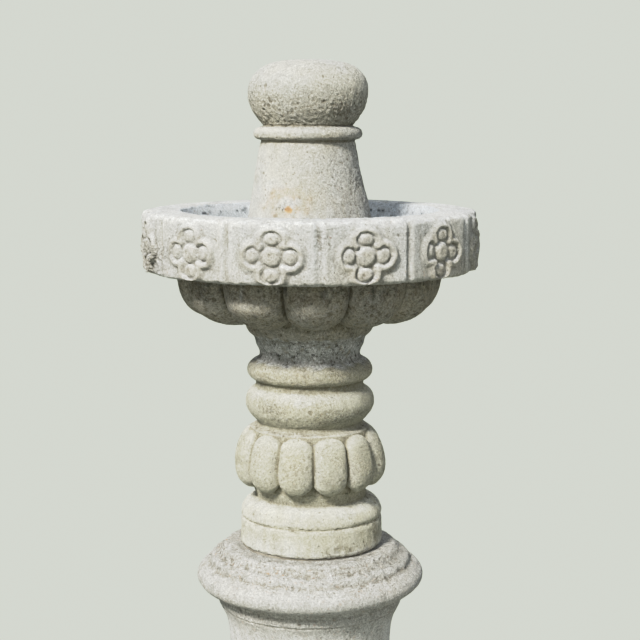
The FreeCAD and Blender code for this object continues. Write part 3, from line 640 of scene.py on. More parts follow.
def basin_extra(P, N):
    """A patch of the rim eaten away at the left, pitted like coarse coral, and the rough run along the top's outer edge."""
    q = P.reshape(-1, 3)
    sh = P.shape[:2]
    a = spot(P, -205, 842, 24, 24)
    b = spot(P, 14, 876, 10, 16)
    c = edge * 0.5
    n = np.abs(perlin(q / 5.2, 341)).reshape(sh)
    m = perlin(q / 8.5, 343).reshape(sh)
    lit = spot(P, -60, 776, 60, 13) * (tags == 7)[:, None]
    return -(a * (2.6 * step(0.20, 0.0, n) + 1.4 * step(0.0, 0.5, m)) + b * 1.3 * step(0.16, 0.0, n) + c * 0.9 * step(0.14, 0.0, n)
             + lit * 1.0 * step(0.14, 0.0, n)) * still


P[..., 2] = np.where((P[..., 2] < 721) & (tags == 5)[:, None], 721.0, P[..., 2])
near = (np.isin(tags, (4, 5, 6))[:, None]) & (P[..., 2] < 727)
basin = finish_grid("basin_stone", P, 11, edge, "basin", "font", zone=zone, still=still, tone=basin_tone, pits=1.0, radial=near, extra=basin_extra)

# ---------------------------------------------------------------------------------------------
# stem
# ---------------------------------------------------------------------------------------------
C = 400
stem_runs = [
    ([row(30, 718), row(30, 441.5)], 12.0),
    ([row(30, 441.5), row(95.5, 441.5)], 5.0),
    ([row(95.5, 441.5), row(97.2, 443.5), row(97.2, 460), row(97, 478.2)], 1.7),
    ([row(97, 478.2), row(95.2, 480), row(97, 481.8)], 0.9),
    ([row(97, 481.8), row(96.8, 487), row(95, 492.5), row(91.5, 498), row(86, 502.3), row(80, 505.2), row(75.5, 507)], 1.6),
    ([row(75.5, 507), row(75.6, 510), row(76.6, 515), row(78.5, 522)], 1.5),
    ([row(78.5, 522), row(81.5, 522.6, 79.2, 525.5), row(86.0, 523.2, 80.0, 529), row(91.5, 525.8, 81.5, 533), row(97.0, 530.6, 83.2, 538),
      row(101.5, 537.2, 85.0, 544), row(104.2, 546.5, 86.6, 552), row(104.6, 557, 86.6, 560), row(102.6, 568.5, 85.6, 569.5),
      row(99.4, 579.5, 84.2, 580), row(95.2, 588.5, 83.0, 588.5), row(90.4, 595.2, 82.2, 595), row(84.8, 600.0, 81.0, 600), row(80.0, 603.2), row(74, 606.5, 73, 606)], 1.5),
    ([row(74, 606.5, 73, 606), row(71.5, 608.6), row(71.3, 611), row(73.5, 613.2)], 1.5),
    ([row(73.5, 613.2), row(80.2, 620.5), row(85.6, 628.5), row(87.8, 637), row(86.8, 646), row(82.5, 653.5), row(77, 657.5)], 1.7),
    ([row(77, 657.5), row(73.6, 660.5), row(73.4, 666.5), row(74.6, 669)], 1.6),
    ([row(74.6, 669), row(79.5, 671), row(84, 676), row(85.4, 683), row(83.2, 689.8), row(78, 694.6), row(73.8, 696.8)], 1.6),
    ([row(73.8, 696.8), row(70, 699.5), row(68.4, 704.5), row(69.5, 710.5), row(72.2, 715.3), row(73.45, 717.8)], 1.6),
    ([row(73.45, 717.8), row(73.5, 718)], 0.2),
    ([row(73.5, 718), row(73.1, 718)], 0.4),
    ([row(73.1, 718), row(30, 718)], 5.0),
]


def run_plain(runs):
    out, tg = [], []
    for n, (pts, sp) in enumerate(runs):
        c = catmull(np.asarray(pts, float), sp)
        out.append(c[:-1])
        tg += [n] * (len(c) - 1)
    return np.vstack(out), np.array(tg)


rows, tags_s = run_plain(stem_runs)
th = np.linspace(0, 2 * np.pi, C, endpoint=False)[None, :]
wob = 0.5 * np.sin(th * 3 + 1.0) + 0.35 * np.sin(th * 7 + 2.0)
sector = np.floor((th + math.radians(15)) / math.radians(30)).astype(int) % 12
jit = np.random.RandomState(5).normal(size=12) * math.radians(0.5)
u = fold(th, math.radians(30)) / math.radians(15)
rc, zc, rv, zv, bb = [rows[:, k][:, None] for k in range(5)]
along = np.clip((rows[:, 1] - 523) / (601 - 523), 0, 1)[:, None]      # 0 at the foot of a gadroon, 1 at its head
w = 0.96 - 0.22 * along                                                # grooves widen downwards
# the fingers' own half width: 1 in the middle, drawn in to rounded ends
head = np.clip(1 - np.clip((along - 0.79) / 0.21, 0, 1) ** 2.3, 0, 1) ** 0.5
foot_ = np.clip(1 - 0.90 * np.clip((0.17 - along) / 0.17, 0, 1) ** 2.2, 0, 1) ** 0.5
wide = 0.02 + 0.98 * head * foot_ * (1 + 0.05 * np.sin(sector * 2.4 + 0.6))
uu = np.abs(u) / wide
a = np.clip((uu - (1 - w)) / w, 0, 1)
shape = np.sqrt(np.clip(1 - a ** 2.4, 0, 1)) * (1 - 0.08 * np.clip(uu, 0, 1) ** 2)
R = rv + (rc - rv) * shape
Z = zv + (zc - zv) * shape
P = place(R, Z, th)
lean(P, 2.2 * step(520, 503, P[..., 2]))
edge = edge_mask(rows, [(97, 442, 0.7), (97, 478.2, 0.5), (97, 481.8, 0.5)], 2.4)[:, None] * np.ones((1, C))
hidden_s = np.isin(tags_s, (0, 1, 14))
still = np.where(hidden_s, 0.0, 1.0)[:, None] * np.ones((1, C))
zone = np.ones(P.shape[:2]) * 0.8
zone = np.where(np.isin(tags_s, (11, 12, 13))[:, None], 1.2, zone)


def stem_tone(Q, N):
    q = Q.reshape(-1, 3)
    sh = Q.shape[:2]
    z = Q[..., 2]
    n1 = fbm(q / 34.0, 401, 3).reshape(sh)
    n3 = fbm(q / 9.0, 409, 3).reshape(sh)
    n4 = fbm(q / 3.5, 413, 2).reshape(sh)
    up = np.clip(N[..., 2], 0, 1)
    lime_and_painted_light = step(0.3, 0.95, up) * (0.5 + 0.5 * n1) + 0.25 * step(0.05, 0.5, n1)
    grey = collar(Q) * ~hidden_s[:, None]
    neck = step(688, 700, z) * (1 - grey)
    grime_and_shade = neck * np.clip(0.62 + 0.5 * n3 + 0.5 * n4, 0, 1)
    # grooves and seams darkened: partly dirt, partly painted shade in the hollows
    groove = (1 - shape) * (tags_s == 6)[:, None]
    grime_and_shade = grime_and_shade + 0.55 * step(0.30, 0.85, groove) * (0.8 + n3) + 0.14 * np.clip(n3 + 0.1, 0, 1)
    seams = np.exp(-((z - 607) / 3.0) ** 2) + np.exp(-((z - 663) / 4.0) ** 2) + 0.7 * np.exp(-((z - 512) / 5.0) ** 2) + 0.8 * np.exp(-((z - 480) / 1.4) ** 2)
    grime_and_shade = grime_and_shade + 0.45 * seams * np.clip(0.8 + n3, 0, 1.4)
    dark = step(0.15, 0.5, fbm(q / 26.0, 421, 2).reshape(sh)) * step(0.0, 0.35, n3)
    grime_and_shade = grime_and_shade + 0.35 * dark * (z < 600)
    rust = np.clip(0.30 + 0.6 * n1, 0, 1) * 0.6 + 0.45 * step(0.2, 0.8, groove) + 0.25 * neck + 0.45 * step(664, 672, z) * (0.7 + n3)
    rust = rust + 0.5 * np.exp(-((z - 480) / 1.6) ** 2)
    amp = 0.62 + 0.45 * n1 - 0.30 * step(506, 500, z) + 0.5 * neck
    amp = amp + 0.8 * spot(Q, 40, 628, 30, 9) + 0.8 * spot(Q, -52, 640, 14, 8) + 0.5 * spot(Q, 78, 560, 24, 30)
    lime_and_painted_light = lime_and_painted_light + 0.8 * spot(Q, -10, 650, 14, 6) + 0.5 * spot(Q, -30, 452, 60, 12) + 0.7 * step(452, 446, z + 5 * n3) * (z < 460) + 0.30 * (z < 505)
    grime_and_shade = grime_and_shade + 0.55 * spot(Q, 48, 450, 22, 9) * step(-0.1, 0.3, n3) + 0.5 * spot(Q, 92, 500, 18, 30) * step(-0.2, 0.3, n3)
    dirt = 0.8 * spot(Q, 34, 450, 22, 5.5, 0.9) * step(-0.5, 0.4, n3) + spot(Q, 88, 463, 9, 16, 0.8) * step(-0.3, 0.3, n3)
    grime_and_shade = grime_and_shade + 0.7 * dirt
    lime_and_painted_light = lime_and_painted_light * (1 - step(688, 700, z)) * (1 - dirt)
    amp = amp + 0.3 * dirt
    amp = amp + 0.35 * step(664, 672, z)
    amp = np.where(grey > 0.5, 1.30, amp)
    return {"lime_and_painted_light": np.clip(lime_and_painted_light, 0, 1), "grime_and_shade": np.clip(grime_and_shade * (1 - grey), 0, 1), "rust": np.clip(rust * (1 - grey), 0, 1),
            "amp": np.clip(amp, 0, 1.6), "neck": grey}


near = (np.isin(tags_s, (11, 12, 13))[:, None]) & (P[..., 2] > 708)
stem = finish_grid("stem_stone", P, 11, edge, "stem", "font", zone=zone, still=still, tone=stem_tone, rough=1.25, pits=1.0, radial=near)

# mortar between the stem and the basin: flush with both and as stained as they are
C = 400
bed_runs = [
    ([(43.2, 718.0), (73.1, 718.0)], 4.0),
    ([(73.1, 718.0), (73.5, 718.0)], 0.4),
    ([(73.5, 718.0), (74.0, 721.0)], 0.6),
    ([(74.0, 721.0), (73.6, 721.0)], 0.4),
    ([(73.6, 721.0), (43.2, 721.0)], 4.0),
    ([(43.2, 721.0), (43.2, 718.0)], 1.5),
]
rows, tags_b = run_plain([([(p[0], p[1]) for p in pts], sp) for pts, sp in bed_runs])
th = np.linspace(0, 2 * np.pi, C, endpoint=False)[None, :]
P = place(rows[:, 0][:, None] + 0 * th, rows[:, 1][:, None] + 0 * th, th)
still = np.isin(tags_b, (1, 2, 3))[:, None] * np.ones(P.shape[:2])


def bed_tone(Q, N):
    return {"neck": collar(Q), "amp": np.full(Q.shape[:2], 1.3)}


bed = finish_grid("basin_bed_mortar", P, 11, np.zeros(P.shape[:2]), "basin_bed", "font", still=still, tone=bed_tone,
                  zone=np.full(P.shape[:2], 1.2), pits=0.9, radial=still > 0.5)

# ---------------------------------------------------------------------------------------------
# finial
# ---------------------------------------------------------------------------------------------
C = 372
fin_runs = [
    ([(0.6, 974), (25, 974)], 6.0),
    ([(25, 974), (36, 965), (41, 940), (46, 900), (50, 850), (52, 818)], 5.0),
    ([(52, 818), (91, 818)], 4.0),
    ([(91, 818), (92.8, 820), (92, 835), (90, 852), (88, 868), (85, 882), (82, 893), (79.2, 908), (76.6, 920), (74, 932), (71.5, 945),
      (69, 958), (67, 970), (65, 980), (63.4, 988)], 1.9),
    ([(63.4, 988), (62.6, 990), (63.4, 992)], 1.0),
    ([(63.4, 992), (68.5, 993.2), (72.2, 996.4), (73.3, 1000.5), (71.8, 1004.5), (67.5, 1008), (61.5, 1009.6)], 1.3),
    ([(61.5, 1009.6), (59.6, 1011), (61.6, 1013)], 1.0),
    ([(61.6, 1013), (66, 1018.5), (71, 1025), (75.4, 1033), (78.8, 1043), (80.2, 1052), (79.6, 1062), (76.6, 1071.5), (70.8, 1080), (61.8, 1087.4),
      (48.8, 1093), (33, 1096.2), (17, 1097.6), (0.6, 1098)], 1.6),
    ([(0.6, 1098), (0.6, 974)], 30.0),
]
rows, tags_f = run_plain([([(p[0], p[1]) for p in pts], sp) for pts, sp in fin_runs])
th = np.linspace(0, 2 * np.pi, C, endpoint=False)[None, :]
Rg = rows[:, 0][:, None] + 0 * th
Zg = rows[:, 1][:, None] + 0 * th
# four arched water notches through the foot
nd = fold(th, math.radians(90), math.radians(45)) * 80.0
arch = 14.0 * np.sqrt(np.clip(1 - (nd / 13.5) ** 4, 0, 1))
floor_z = 818.0 + arch
Zg = np.where(Zg < 850, np.maximum(Zg, floor_z + (Zg - 818) * np.clip((850 - floor_z) / 32.0, 0, 1) * 1.0), Zg)
P = place(Rg, Zg, th)
lean(P, -1.6 * step(900, 960, P[..., 2]) * step(1098, 1040, P[..., 2]) - 0.6 * step(900, 960, P[..., 2]))
edge = edge_mask(rows, [(92, 819, 0.6), (73, 1000, 0.25)], 3.0)[:, None] * np.ones((1, C))
hidden_f = np.isin(tags_f, (0, 1, 2, 8))
still = np.where(hidden_f, 0.0, 1.0)[:, None] * np.ones((1, C))
still = still * step(2.0, 12.0, Rg)
zz = P[..., 2]
zone = 0.9 + 1.2 * step(1066, 1040, zz) * step(1008, 1016, zz)
side = 0.5 + 0.5 * np.sin(th - math.radians(12 + 20))        # rougher on the weather side
zone = np.where(zz < 992, 0.55 + 1.5 * side ** 2, zone)


def fin_extra(P, N):
    q = P.reshape(-1, 3)
    sh = P.shape[:2]
    z = P[..., 2]
    bun = step(1068, 1036, z) * step(1009, 1016, z)
    ripple = perlin(q * np.array([1 / 9.0, 1 / 9.0, 1 / 3.2]), 505).reshape(sh)
    lumps = perlin(q / 4.6, 507).reshape(sh)
    comb = cracks(q * np.array([1 / 13.0, 1 / 13.0, 1 / 4.2]), 511, 0.20).reshape(sh)
    pop = cracks(q / 6.2, 515, 0.20).reshape(sh)
    rightside = np.clip(np.sin(th - AZ) * 1.2 + 0.3, 0, 1) + 0 * z
    left = 1 - rightside
    post = step(985, 960, z) * rightside
    out = 0.55 * bun * ripple + 0.50 * bun * lumps + 0.30 * (z > 1009) * lumps
    out = out - 0.55 * bun * left * comb - 0.75 * bun * (0.35 + 0.65 * rightside) * pop
    out = out - 1.2 * post * pop * step(-0.3, 0.3, fbm(q / 28.0, 517, 2).reshape(sh))
    return out * still


def fin_tone(Q, N):
    q = Q.reshape(-1, 3)
    sh = Q.shape[:2]
    z = Q[..., 2]
    n1 = fbm(q / 36.0, 501, 3).reshape(sh)
    n3 = fbm(q / 9.0, 509, 3).reshape(sh)
    n4 = fbm(q / 3.0, 513, 2).reshape(sh)
    up = np.clip(N[..., 2], 0, 1)
    lime_and_painted_light = step(0.25, 0.9, up) * (0.22 + 0.5 * n1) + 0.4 * step(930, 900, z) * (0.7 + n1)
    under = step(0.1, -0.6, N[..., 2])
    grime_and_shade = 0.15 * (z > 1009) * step(1060, 1030, z) * np.clip(0.35 + 0.8 * n3 + 0.7 * n4 + 0.5 * side, 0, 1)
    grime_and_shade = grime_and_shade + 0.03 * (z < 992) * side * np.clip(0.3 + n3 + n4, 0, 1)
    rust = np.clip(0.30 + 0.8 * n1, 0, 1) * 0.75 * (z < 1009) + 0.5 * np.clip(under + 0.3 * n1, 0, 1) * (z > 1009)
    rust = rust + 0.35 * np.exp(-((z - 990) / 3.0) ** 2) + 0.4 * np.exp(-((z - 1011) / 2.5) ** 2)
    right = np.clip(0.45 + 0.75 * np.sin(th - AZ), 0, 1)
    amp = np.where(z > 1009, 0.60 + 0.40 * step(1068, 1030, z) * (0.6 + 0.4 * right), 0.30 + 0.85 * right ** 1.6) + 0.2 * n1
    grime_and_shade = grime_and_shade + 0.8 * spot(Q, 42, 1032, 13, 8) + 0.30 * spot(Q, 45, 905, 16, 30)
    lime_and_painted_light = lime_and_painted_light + 0.7 * spot(Q, -50, 925, 18, 16) + 0.5 * spot(Q, -20, 893, 16, 8)
    halo = spot(Q, -29, 912, 27, 18)
    core = spot(Q, -30, 911, 13, 8)
    rust = rust + 1.5 * halo * (1 - core)
    lime_and_painted_light = lime_and_painted_light * (1 - 0.9 * halo * (1 - core)) + 0.9 * core
    ring_o = halo * (1 - core) * step(-0.25, 0.35, n3)
    grime_and_shade = grime_and_shade + 0.8 * core * step(0.0, 0.3, n4)
    rust = rust + 0.5 * spot(Q, 30, 908, 14, 10)
    ochre = spot(Q, -27, 903.5, 5.0, 4.0, 0.3) + 0.30 * ring_o
    ink = 0.8 * spot(Q, -37, 904.0, 9, 3.0, 0.6) * step(-0.2, 0.2, n4)
    post_pit = (z < 990) * right * step(0.12, 0.34, n4) * step(-0.25, 0.25, n3)
    grime_and_shade = grime_and_shade + 0.42 * post_pit
    # painted light: the post's shaded right side whitened to lift it
    lime_and_painted_light = lime_and_painted_light + 0.60 * (z < 990) * right
    return {"lime_and_painted_light": np.clip(lime_and_painted_light, 0, 1), "grime_and_shade": np.clip(grime_and_shade, 0, 1), "rust": np.clip(rust, 0, 1), "amp": np.clip(amp, 0, 1.6),
            "ochre": np.clip(ochre, 0, 1), "ink": np.clip(ink, 0, 1)}


finial = finish_grid("finial_stone", P, 37, edge, "finial", "finial", zone=zone, still=still, tone=fin_tone, extra=fin_extra, pits=1.1)

# ---------------------------------------------------------------------------------------------
# pedestal
# ---------------------------------------------------------------------------------------------
C = 420
ped_runs = [
    ([(34, 438.5), (34, 392)], 10.0),
    ([(34, 392), (50, 384)], 8.0),
    ([(50, 384), (50, 64)], 20.0),
    ([(50, 64), (158, 64)], 8.0),
    ([(158, 64), (160, 66), (160, 89), (158.5, 91)], 2.5),
    ([(158.5, 91), (153.5, 92.3), (152.6, 94)], 1.8),
    ([(152.6, 94), (158.5, 98.5), (162.8, 106), (164.2, 113), (162.8, 121), (158.2, 128.5), (151, 133.6), (146, 134.6)], 2.3),
    ([(146, 134.6), (137, 135.4), (133.5, 137.2)], 2.2),
    ([(133.5, 137.2), (127, 141.8), (124.2, 148), (124.6, 154), (128, 158.6)], 2.2),
    ([(128, 158.6), (130, 160), (130, 166.2), (128.6, 168)], 1.8),
    ([(128.6, 168), (120.5, 169.6), (117.2, 174), (115.6, 184), (114.2, 205), (112.6, 250), (111.2, 298), (112.4, 316), (114.2, 327), (116.8, 338), (120.8, 347), (124.6, 353.2)], 2.4),
    ([(124.6, 353.2), (124.3, 355.2), (126.2, 357), (126.5, 362), (126.4, 367.5)], 1.2),
    ([(126.4, 367.5), (128.6, 373), (133, 378), (138, 379.9)], 1.8),
    ([(138, 379.9), (145, 381), (151, 384.8), (155.2, 390.5), (156.2, 396.5), (154, 403), (149, 408.4), (144.5, 411.4)], 1.9),
    ([(144.5, 411.4), (141.6, 413.2), (139.6, 415.6)], 1.5),
    ([(139.6, 415.6), (138.0, 419.4), (134.6, 423.2), (130, 426.0), (126.5, 427.8)], 1.8),
    ([(126.5, 427.8), (124.4, 429.2), (122.8, 431.4)], 1.4),
    ([(122.8, 431.4), (121.0, 435.2), (117.5, 437.8), (113, 438.5)], 1.6),
    ([(113, 438.5), (34, 438.5)], 3.4),
]
rows, tags_p = run_plain([([(p[0], p[1]) for p in pts], sp) for pts, sp in ped_runs])
th = np.linspace(0, 2 * np.pi, C, endpoint=False)[None, :]
P = place(rows[:, 0][:, None] + 0 * th, rows[:, 1][:, None] + 0 * th, th)
edge = edge_mask(rows, [(160, 66, 0.6), (160, 90, 0.8), (130, 160, 0.8), (130, 167, 0.8), (125.5, 353, 0.5), (126.4, 367, 0.4),
                        (138.4, 416, 0.9), (122, 436, 1.0), (127, 427, 0.6)], 4.0)[:, None] * np.ones((1, C))
hidden_p = np.isin(tags_p, (0, 1, 2, 3))
still = np.where(hidden_p, 0.0, 1.0)[:, None] * np.ones((1, C))
rr = np.hypot(P[..., 0], P[..., 1])
still = np.where((tags_p == 18)[:, None] & (rr < 100), 0.0, still)
zz = P[..., 2]
zone = np.where(zz > 424, 1.7, np.where(zz > 409, 1.5, 0.75))
zone = np.where(zz < 170, 1.1, zone)


def ped_extra(P, N):
    q = P.reshape(-1, 3)
    sh = P.shape[:2]
    z = P[..., 2]
    top = step(406, 420, z) * still
    return top * (1.0 * perlin(q / 15.0, 604).reshape(sh) + 0.8 * perlin(q / 8.0, 605).reshape(sh) + 0.5 * perlin(q / 4.5, 606).reshape(sh))


def ped_tone(Q, N):
    q = Q.reshape(-1, 3)
    sh = Q.shape[:2]
    z = Q[..., 2]
    n1 = fbm(q / 40.0, 601, 3).reshape(sh)
    n3 = fbm(q / 10.0, 609, 3).reshape(sh)
    up = np.clip(N[..., 2], 0, 1)
    lime_and_painted_light = 0.52 + 0.4 * n1 + 0.4 * step(0.3, 0.9, up) * (0.6 + 0.6 * n1) + 0.50 * step(352, 340, z)
    top = step(408, 420, z)
    grime_and_shade = 0.26 * top * np.clip(0.20 + n3, 0, 1) + 0.10 * np.clip(n3, 0, 1)
    grime_and_shade = grime_and_shade + 0.35 * step(170, 60, z) * np.clip(0.3 + n1, 0, 1)
    amp = 1.05 + 0.35 * top + 0.3 * n1 - 0.35 * step(352, 340, z)
    n5 = fbm(q / 4.0, 613, 2).reshape(sh)
    left = step(40, -60, Q[..., 0] * math.cos(AZ) + Q[..., 1] * math.sin(AZ))
    ochre = 0.75 * top * left * step(0.28, 0.45, n5) * step(0.0, 0.4, n3) + 0.30 * step(0.42, 0.55, n5)
    ink = 0.45 * top * left * step(-0.34, -0.50, n5) * step(0.1, 0.4, n1)
    crease = np.exp(-((z - 411) / 2.0) ** 2) + np.exp(-((z - 427.5) / 1.6) ** 2) + np.exp(-((z - 135) / 2.5) ** 2) + np.exp(-((z - 92.5) / 2.0) ** 2) + 1.4 * np.exp(-((z - 355.2) / 1.5) ** 2)
    rust = np.clip(0.20 + 0.55 * n1, 0, 1) * 0.45 * (0.5 + 0.7 * top) + 0.25 * crease
    return {"lime_and_painted_light": np.clip(lime_and_painted_light, 0, 1), "grime_and_shade": np.clip(grime_and_shade, 0, 1), "rust": np.clip(rust, 0, 1), "amp": np.clip(amp, 0, 1.6),
            "ochre": np.clip(ochre, 0, 1), "ink": np.clip(ink, 0, 1)}


pedestal = finish_grid("pedestal_stone", P, 51, edge, "pedestal", "font", zone=zone, still=still, tone=ped_tone, extra=ped_extra, pits=0.9)

# ---------------------------------------------------------------------------------------------
# plinth: a square slab from the same sort of grid, its columns run to the four corners
# ---------------------------------------------------------------------------------------------
C = 480
A = 176.0
n4 = C // 4
tq = (np.arange(n4) + 0.0) / n4 * 2 - 1
ang = []
for k in range(4):
    ang.append(np.arctan(tq) + k * np.pi / 2)
th = np.concatenate(ang)[None, :]
square = A / np.maximum(np.abs(np.sin(th)), np.abs(np.cos(th)))
dist = np.abs(np.abs(fold(th, math.radians(90))) - math.radians(45)) * A * 1.4
square = square - 5.0 * np.exp(-(dist / 4.0) ** 2)
plinth_runs = [
    ([(50, 60, 0), (50, 0, 0)], 8.0),
    ([(50, 0, 0), (0, 0, 1)], 8.0),
    ([(0, 0, 1), (0, 60, 1)], 2.6),
    ([(0, 60, 1), (50, 60, 0)], 3.6),
]
R_rows, Z_rows, b_rows, tags_q = [], [], [], []
for n, (pts, sp) in enumerate(plinth_runs):
    p0, p1 = [np.array(v, float) for v in pts]
    length = {0: 60.0, 1: 140.0, 2: 60.0, 3: 140.0}[n]
    m = int(round(length / sp))
    for i in range(m):
        v = p0 + (p1 - p0) * i / m
        R_rows.append(v[0]); Z_rows.append(v[1]); b_rows.append(v[2]); tags_q.append(n)
Rr, Zr, br = [np.array(v)[:, None] for v in (R_rows, Z_rows, b_rows)]
tags_q = np.array(tags_q)
Rg = Rr + br * square
Zg = Zr + 0 * square
rad = 7.0
dtop = np.clip(Zg - (60 - rad), 0, rad)
Rg = np.where((tags_q == 2)[:, None], Rg - (rad - np.sqrt(np.maximum(rad ** 2 - dtop ** 2, 0))) * 1.0, Rg)
m = tags_q == 3
scale = (square - rad) / square
Rg = np.where(m[:, None], np.where(br > 0.02, Rg * (1 - (1 - scale) * br), Rg), Rg)
P = place(Rg, Zg, th)
rr_edge = np.exp(-((P[..., 2] - 60) / 7.0) ** 2) * np.where(br > 0.85, 1.0, 0.0)
corner = np.exp(-(dist / 8.0) ** 2) * np.where(br > 0.95, 1.0, 0.0)
edge = np.clip(rr_edge + 0.8 * corner, 0, 1)
hidden_q = np.isin(tags_q, (0, 1))
still = np.where(hidden_q, 0.0, 1.0)[:, None] * np.ones(P.shape[:2])
still = np.where((tags_q == 3)[:, None] & (np.hypot(P[..., 0], P[..., 1]) < 160), 0.0, still)
still = still * np.where(tags_q[:, None] == 2, step(0.0, 6.0, P[..., 2]), 1.0)


def plinth_tone(Q, N):
    q = Q.reshape(-1, 3)
    sh = Q.shape[:2]
    z = Q[..., 2]
    n1 = fbm(q / 60.0, 701, 3).reshape(sh)
    n3 = fbm(q / 12.0, 709, 3).reshape(sh)
    grime_and_shade = 0.25 * np.clip(0.3 + n1 + 0.5 * n3, 0, 1) + 0.45 * step(22, 0, z) * (0.7 + 0.5 * n1)
    rust = np.clip(0.2 + 0.6 * n1, 0, 1) * 0.5 + 0.3 * step(18, 0, z)
    return {"lime_and_painted_light": np.clip(0.35 + 0.5 * n1, 0, 1), "grime_and_shade": np.clip(grime_and_shade, 0, 1), "rust": np.clip(rust, 0, 1)}


plinth = finish_grid("plinth_stone", P, 67, edge, "plinth", "font", still=still, tone=plinth_tone, pits=0.9)

# =============================================================================================
# materials
# =============================================================================================


class Graph:
    def __init__(self, name):
        self.mat = bpy.data.materials.new(name)
        self.mat.use_nodes = True
        self.t = self.mat.node_tree
        self.t.nodes.clear()
        self.out = self.t.nodes.new("ShaderNodeOutputMaterial")
        self.bsdf = self.t.nodes.new("ShaderNodeBsdfPrincipled")
        self.t.links.new(self.bsdf.outputs[0], self.out.inputs["Surface"])
        self.co = self.t.nodes.new("ShaderNodeTexCoord").outputs["Object"]

    def link(self, a, b):
        self.t.links.new(a, b)

    def mapping(self, scale):
        m = self.t.nodes.new("ShaderNodeMapping")
        m.inputs["Scale"].default_value = scale
        self.link(self.co, m.inputs["Vector"])
        return m.outputs[0]

    def noise(self, scale, detail=3.0, rough=0.55, vec=None, distortion=0.0):
        n = self.t.nodes.new("ShaderNodeTexNoise")
        n.inputs["Scale"].default_value = scale
        n.inputs["Detail"].default_value = detail
        n.inputs["Roughness"].default_value = rough
        n.inputs["Distortion"].default_value = distortion
        self.link(vec or self.co, n.inputs["Vector"])
        return n.outputs["Fac"]

    def voronoi(self, scale, feature="F1", out="Distance", vec=None, rand=1.0):
        n = self.t.nodes.new("ShaderNodeTexVoronoi")
        n.feature = feature
        n.inputs["Scale"].default_value = scale
        n.inputs["Randomness"].default_value = rand
        self.link(vec or self.co, n.inputs["Vector"])
        return n.outputs[out]

    def ramp(self, x, lo, hi, a=0.0, b=1.0):
        n = self.t.nodes.new("ShaderNodeMapRange")
        n.interpolation_type = "SMOOTHSTEP"
        n.inputs["From Min"].default_value = lo
        n.inputs["From Max"].default_value = hi
        n.inputs["To Min"].default_value = a
        n.inputs["To Max"].default_value = b
        self.link(x, n.inputs["Value"])
        return n.outputs["Result"]

    def math(self, op, a, b=None, clamp=False):
        n = self.t.nodes.new("ShaderNodeMath")
        n.operation = op
        n.use_clamp = clamp
        for k, v in enumerate((a, b)):
            if v is None:
                continue
            if isinstance(v, (int, float)):
                n.inputs[k].default_value = v
            else:
                self.link(v, n.inputs[k])
        return n.outputs[0]

    def mix(self, fac, a, b, mode="MIX"):
        n = self.t.nodes.new("ShaderNodeMix")
        n.data_type = "RGBA"
        n.blend_type = mode
        for key, v in ((0, fac), (6, a), (7, b)):
            if isinstance(v, (int, float)):
                n.inputs[key].default_value = v
            elif isinstance(v, tuple):
                n.inputs[key].default_value = (v[0], v[1], v[2], 1.0)
            else:
                self.link(v, n.inputs[key])
        return n.outputs[2]

    def attr(self, name):
        n = self.t.nodes.new("ShaderNodeAttribute")
        n.attribute_type = "GEOMETRY"
        n.attribute_name = name
        return n.outputs["Fac"]

    def bump(self, height, distance, strength=1.0, normal=None):
        n = self.t.nodes.new("ShaderNodeBump")
        n.inputs["Distance"].default_value = distance
        n.inputs["Strength"].default_value = strength
        self.link(height, n.inputs["Height"])
        if normal is not None:
            self.link(normal, n.inputs["Normal"])
        return n.outputs[0]


def lin(r, g, b):
    f = lambda c: (c / 255.0 / 12.92) if c <= 10 else (((c / 255.0) + 0.055) / 1.055) ** 2.4
    return (f(r), f(g), f(b))


